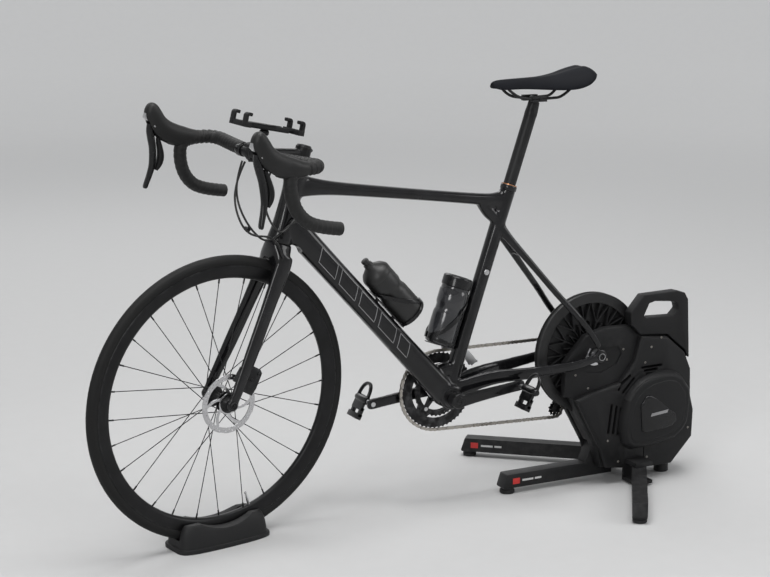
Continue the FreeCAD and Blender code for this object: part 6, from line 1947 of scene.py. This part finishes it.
def dress_carried_nodes():
    """Give each CAD node that still shows its own finish."""
    finishes = {"headset_bearings": "bright_steel", "bottom_bracket_cups": "satin_metal",
                "rear_axle": "bare_metal", "trainer_chassis": "painted_steel", "drive_belt": "hose_jacket",
                "flywheel": "painted_steel", "pedal_spindles": "bright_steel"}
    for name, node in frame["nodes"].items():
        if not node.hide_render:
            if name not in finishes:
                raise RuntimeError("no finish for CAD node " + name)
            for slot in node.material_slots:
                slot.material = look(finishes[name])


# ---- Settings ----------------------------------------------------------------------------------

def amount(name, note, value, **limits):
    """A number that a user may change."""
    return bpy.props.FloatProperty(name=name, description=note, default=value, **limits)


def tint(name, note, value):
    """A colour that a user may change."""
    return bpy.props.FloatVectorProperty(name=name, description=note, subtype="COLOR", default=value)


class BicycleSizes(bpy.types.PropertyGroup):
    """Sizes that a user may change."""
    skin: amount("Skin step", "Fineness of the frame's skin, in millimetres", 2.7, min=1.8, max=6)
    tape_pitch: amount("Tape pitch", "Distance between turns of bar tape, in millimetres", 13.0, min=8,
                       max=24)
    hose: amount("Hose radius", "Radius of the hoses, in millimetres", 2.5, min=1.5, max=3)


class BicycleColours(bpy.types.PropertyGroup):
    """Colours of the finishes."""
    lacquer: tint("Lacquer", "Clear coated black", (0.003, 0.003, 0.0034))
    satin: tint("Satin", "Anodised and painted metal", (0.01, 0.01, 0.0105))
    silver: tint("Silver", "Bare metal", (0.62, 0.62, 0.63))
    chain: tint("Chain", "Oiled steel", (0.36, 0.34, 0.31))
    shell: tint("Shell", "Textured plastic", (0.0085, 0.0085, 0.009))
    rubber: tint("Rubber", "Tyre, hoods and tape", (0.0085, 0.0085, 0.0085))
    saddle: tint("Saddle", "Saddle cover", (0.008, 0.0085, 0.0105))
    floor: tint("Studio", "Backdrop and floor", (0.5, 0.5, 0.5))


class BicycleStudio(bpy.types.PropertyGroup):
    """Studio light."""
    overhead: amount("Overhead", "Power of the overhead light", 170, unit="POWER")
    side: amount("Side", "Power of the side lights", 70, unit="POWER")
    air: amount("Air", "Strength of the light from all round", 0.4)
    glow: amount("Glow", "Even brightness of the far backdrop", 0.25)


class BICYCLE_OT_frame(bpy.types.Operator):
    """Frame tubes, collar, badge and panels."""
    bl_idname = "bicycle.frame"
    bl_label = "Frame"

    def execute(self, context):
        build_frame(context.scene.bicycle_sizes.skin)
        return {"FINISHED"}


class BICYCLE_OT_fork(bpy.types.Operator):
    """Fork and headset seam."""
    bl_idname = "bicycle.fork"
    bl_label = "Fork"

    def execute(self, context):
        build_fork(context.scene.bicycle_sizes.skin * 0.9)
        return {"FINISHED"}


class BICYCLE_OT_front_wheel(bpy.types.Operator):
    """Tyre, rim, spokes, hub and rotor."""
    bl_idname = "bicycle.front_wheel"
    bl_label = "Front wheel"

    def execute(self, context):
        build_tyre_and_rim()
        build_spokes()
        build_rotor()
        return {"FINISHED"}


class BICYCLE_OT_caliper(bpy.types.Operator):
    """Brake caliper on the fork."""
    bl_idname = "bicycle.caliper"
    bl_label = "Front caliper"

    def execute(self, context):
        build_caliper()
        return {"FINISHED"}


class BICYCLE_OT_cockpit(bpy.types.Operator):
    """Bar, tape, stem, levers and phone cradle."""
    bl_idname = "bicycle.cockpit"
    bl_label = "Cockpit"

    def execute(self, context):
        build_handlebar(context.scene.bicycle_sizes.tape_pitch)
        build_stem()
        build_levers()
        build_phone_cradle()
        return {"FINISHED"}


class BICYCLE_OT_hoses(bpy.types.Operator):
    """Brake and shift hoses."""
    bl_idname = "bicycle.hoses"
    bl_label = "Hoses"

    def execute(self, context):
        build_hoses(context.scene.bicycle_sizes.hose)
        return {"FINISHED"}


class BICYCLE_OT_chain(bpy.types.Operator):
    """Every link of the chain."""
    bl_idname = "bicycle.chain"
    bl_label = "Chain"

    def execute(self, context):
        build_chain()
        return {"FINISHED"}


class BICYCLE_OT_cranks(bpy.types.Operator):
    """Chainrings, crank arms and pedals."""
    bl_idname = "bicycle.cranks"
    bl_label = "Cranks"

    def execute(self, context):
        build_rings()
        build_cranks()
        return {"FINISHED"}


class BICYCLE_OT_derailleurs(bpy.types.Operator):
    """Front and rear derailleurs and jockey wheels."""
    bl_idname = "bicycle.derailleurs"
    bl_label = "Derailleurs"

    def execute(self, context):
        build_derailleurs()
        return {"FINISHED"}


class BICYCLE_OT_saddle(bpy.types.Operator):
    """Saddle, rails and seatpost."""
    bl_idname = "bicycle.saddle"
    bl_label = "Saddle"

    def execute(self, context):
        build_saddle()
        return {"FINISHED"}


class BICYCLE_OT_bottles(bpy.types.Operator):
    """Bottle, canister and cages."""
    bl_idname = "bicycle.bottles"
    bl_label = "Bottles"

    def execute(self, context):
        build_bottles()
        return {"FINISHED"}


class BICYCLE_OT_trainer(bpy.types.Operator):
    """Trainer shells, motor cover, handle and screws."""
    bl_idname = "bicycle.trainer"
    bl_label = "Trainer"

    def execute(self, context):
        build_trainer_left()
        build_trainer_rest()
        return {"FINISHED"}


class BICYCLE_OT_drive(bpy.types.Operator):
    """Belt disc and cassette."""
    bl_idname = "bicycle.drive"
    bl_label = "Trainer drive"

    def execute(self, context):
        build_disc()
        build_cassette()
        return {"FINISHED"}


class BICYCLE_OT_legs(bpy.types.Operator):
    """Trainer legs and feet."""
    bl_idname = "bicycle.legs"
    bl_label = "Legs"

    def execute(self, context):
        build_legs()
        return {"FINISHED"}


class BICYCLE_OT_block(bpy.types.Operator):
    """Riser block under the front wheel."""
    bl_idname = "bicycle.block"
    bl_label = "Riser block"

    def execute(self, context):
        build_block()
        return {"FINISHED"}


class BICYCLE_OT_finishes(bpy.types.Operator):
    """Finishes of the nodes that still show."""
    bl_idname = "bicycle.finishes"
    bl_label = "Carried finishes"

    def execute(self, context):
        dress_carried_nodes()
        return {"FINISHED"}


class BICYCLE_OT_stage(bpy.types.Operator):
    """Backdrop, lights and camera."""
    bl_idname = "bicycle.stage"
    bl_label = "Studio"

    def execute(self, context):
        build_stage()
        return {"FINISHED"}


STEPS = ("frame", "fork", "front_wheel", "caliper", "cockpit", "hoses", "chain", "cranks", "derailleurs",
         "saddle", "bottles", "trainer", "drive", "legs", "block", "finishes", "stage")


class BICYCLE_PT_panel(bpy.types.Panel):
    """Settings and building steps in the 3D view's sidebar."""
    bl_idname = "BICYCLE_PT_panel"
    bl_label = "Bicycle on stand"
    bl_space_type = "VIEW_3D"
    bl_region_type = "UI"
    bl_category = "Bicycle"

    def draw(self, context):
        scene = context.scene
        for group in (scene.bicycle_sizes, scene.bicycle_colours, scene.bicycle_studio):
            box = self.layout.box()
            for name in group.bl_rna.properties.keys():
                if name not in {"rna_type", "name"}:
                    box.prop(group, name)
        for step in STEPS:
            self.layout.operator("bicycle." + step)


GROUPS = (("bicycle_sizes", BicycleSizes), ("bicycle_colours", BicycleColours),
          ("bicycle_studio", BicycleStudio))
CLASSES = (BICYCLE_OT_frame, BICYCLE_OT_fork, BICYCLE_OT_front_wheel, BICYCLE_OT_caliper,
           BICYCLE_OT_cockpit, BICYCLE_OT_hoses, BICYCLE_OT_chain, BICYCLE_OT_cranks,
           BICYCLE_OT_derailleurs, BICYCLE_OT_saddle, BICYCLE_OT_bottles, BICYCLE_OT_trainer,
           BICYCLE_OT_drive, BICYCLE_OT_legs, BICYCLE_OT_block, BICYCLE_OT_finishes, BICYCLE_OT_stage,
           BICYCLE_PT_panel)


def register():
    for name, group in GROUPS:
        bpy.utils.register_class(group)
        setattr(bpy.types.Scene, name, bpy.props.PointerProperty(type=group))
    for one in CLASSES:
        bpy.utils.register_class(one)


def unregister():
    for one in reversed(CLASSES):
        bpy.utils.unregister_class(one)
    for name, group in reversed(GROUPS):
        delattr(bpy.types.Scene, name)
        bpy.utils.unregister_class(group)


def main():
    register()
    for step in STEPS:
        getattr(bpy.ops.bicycle, step)()


if __name__ == "__main__":
    main()
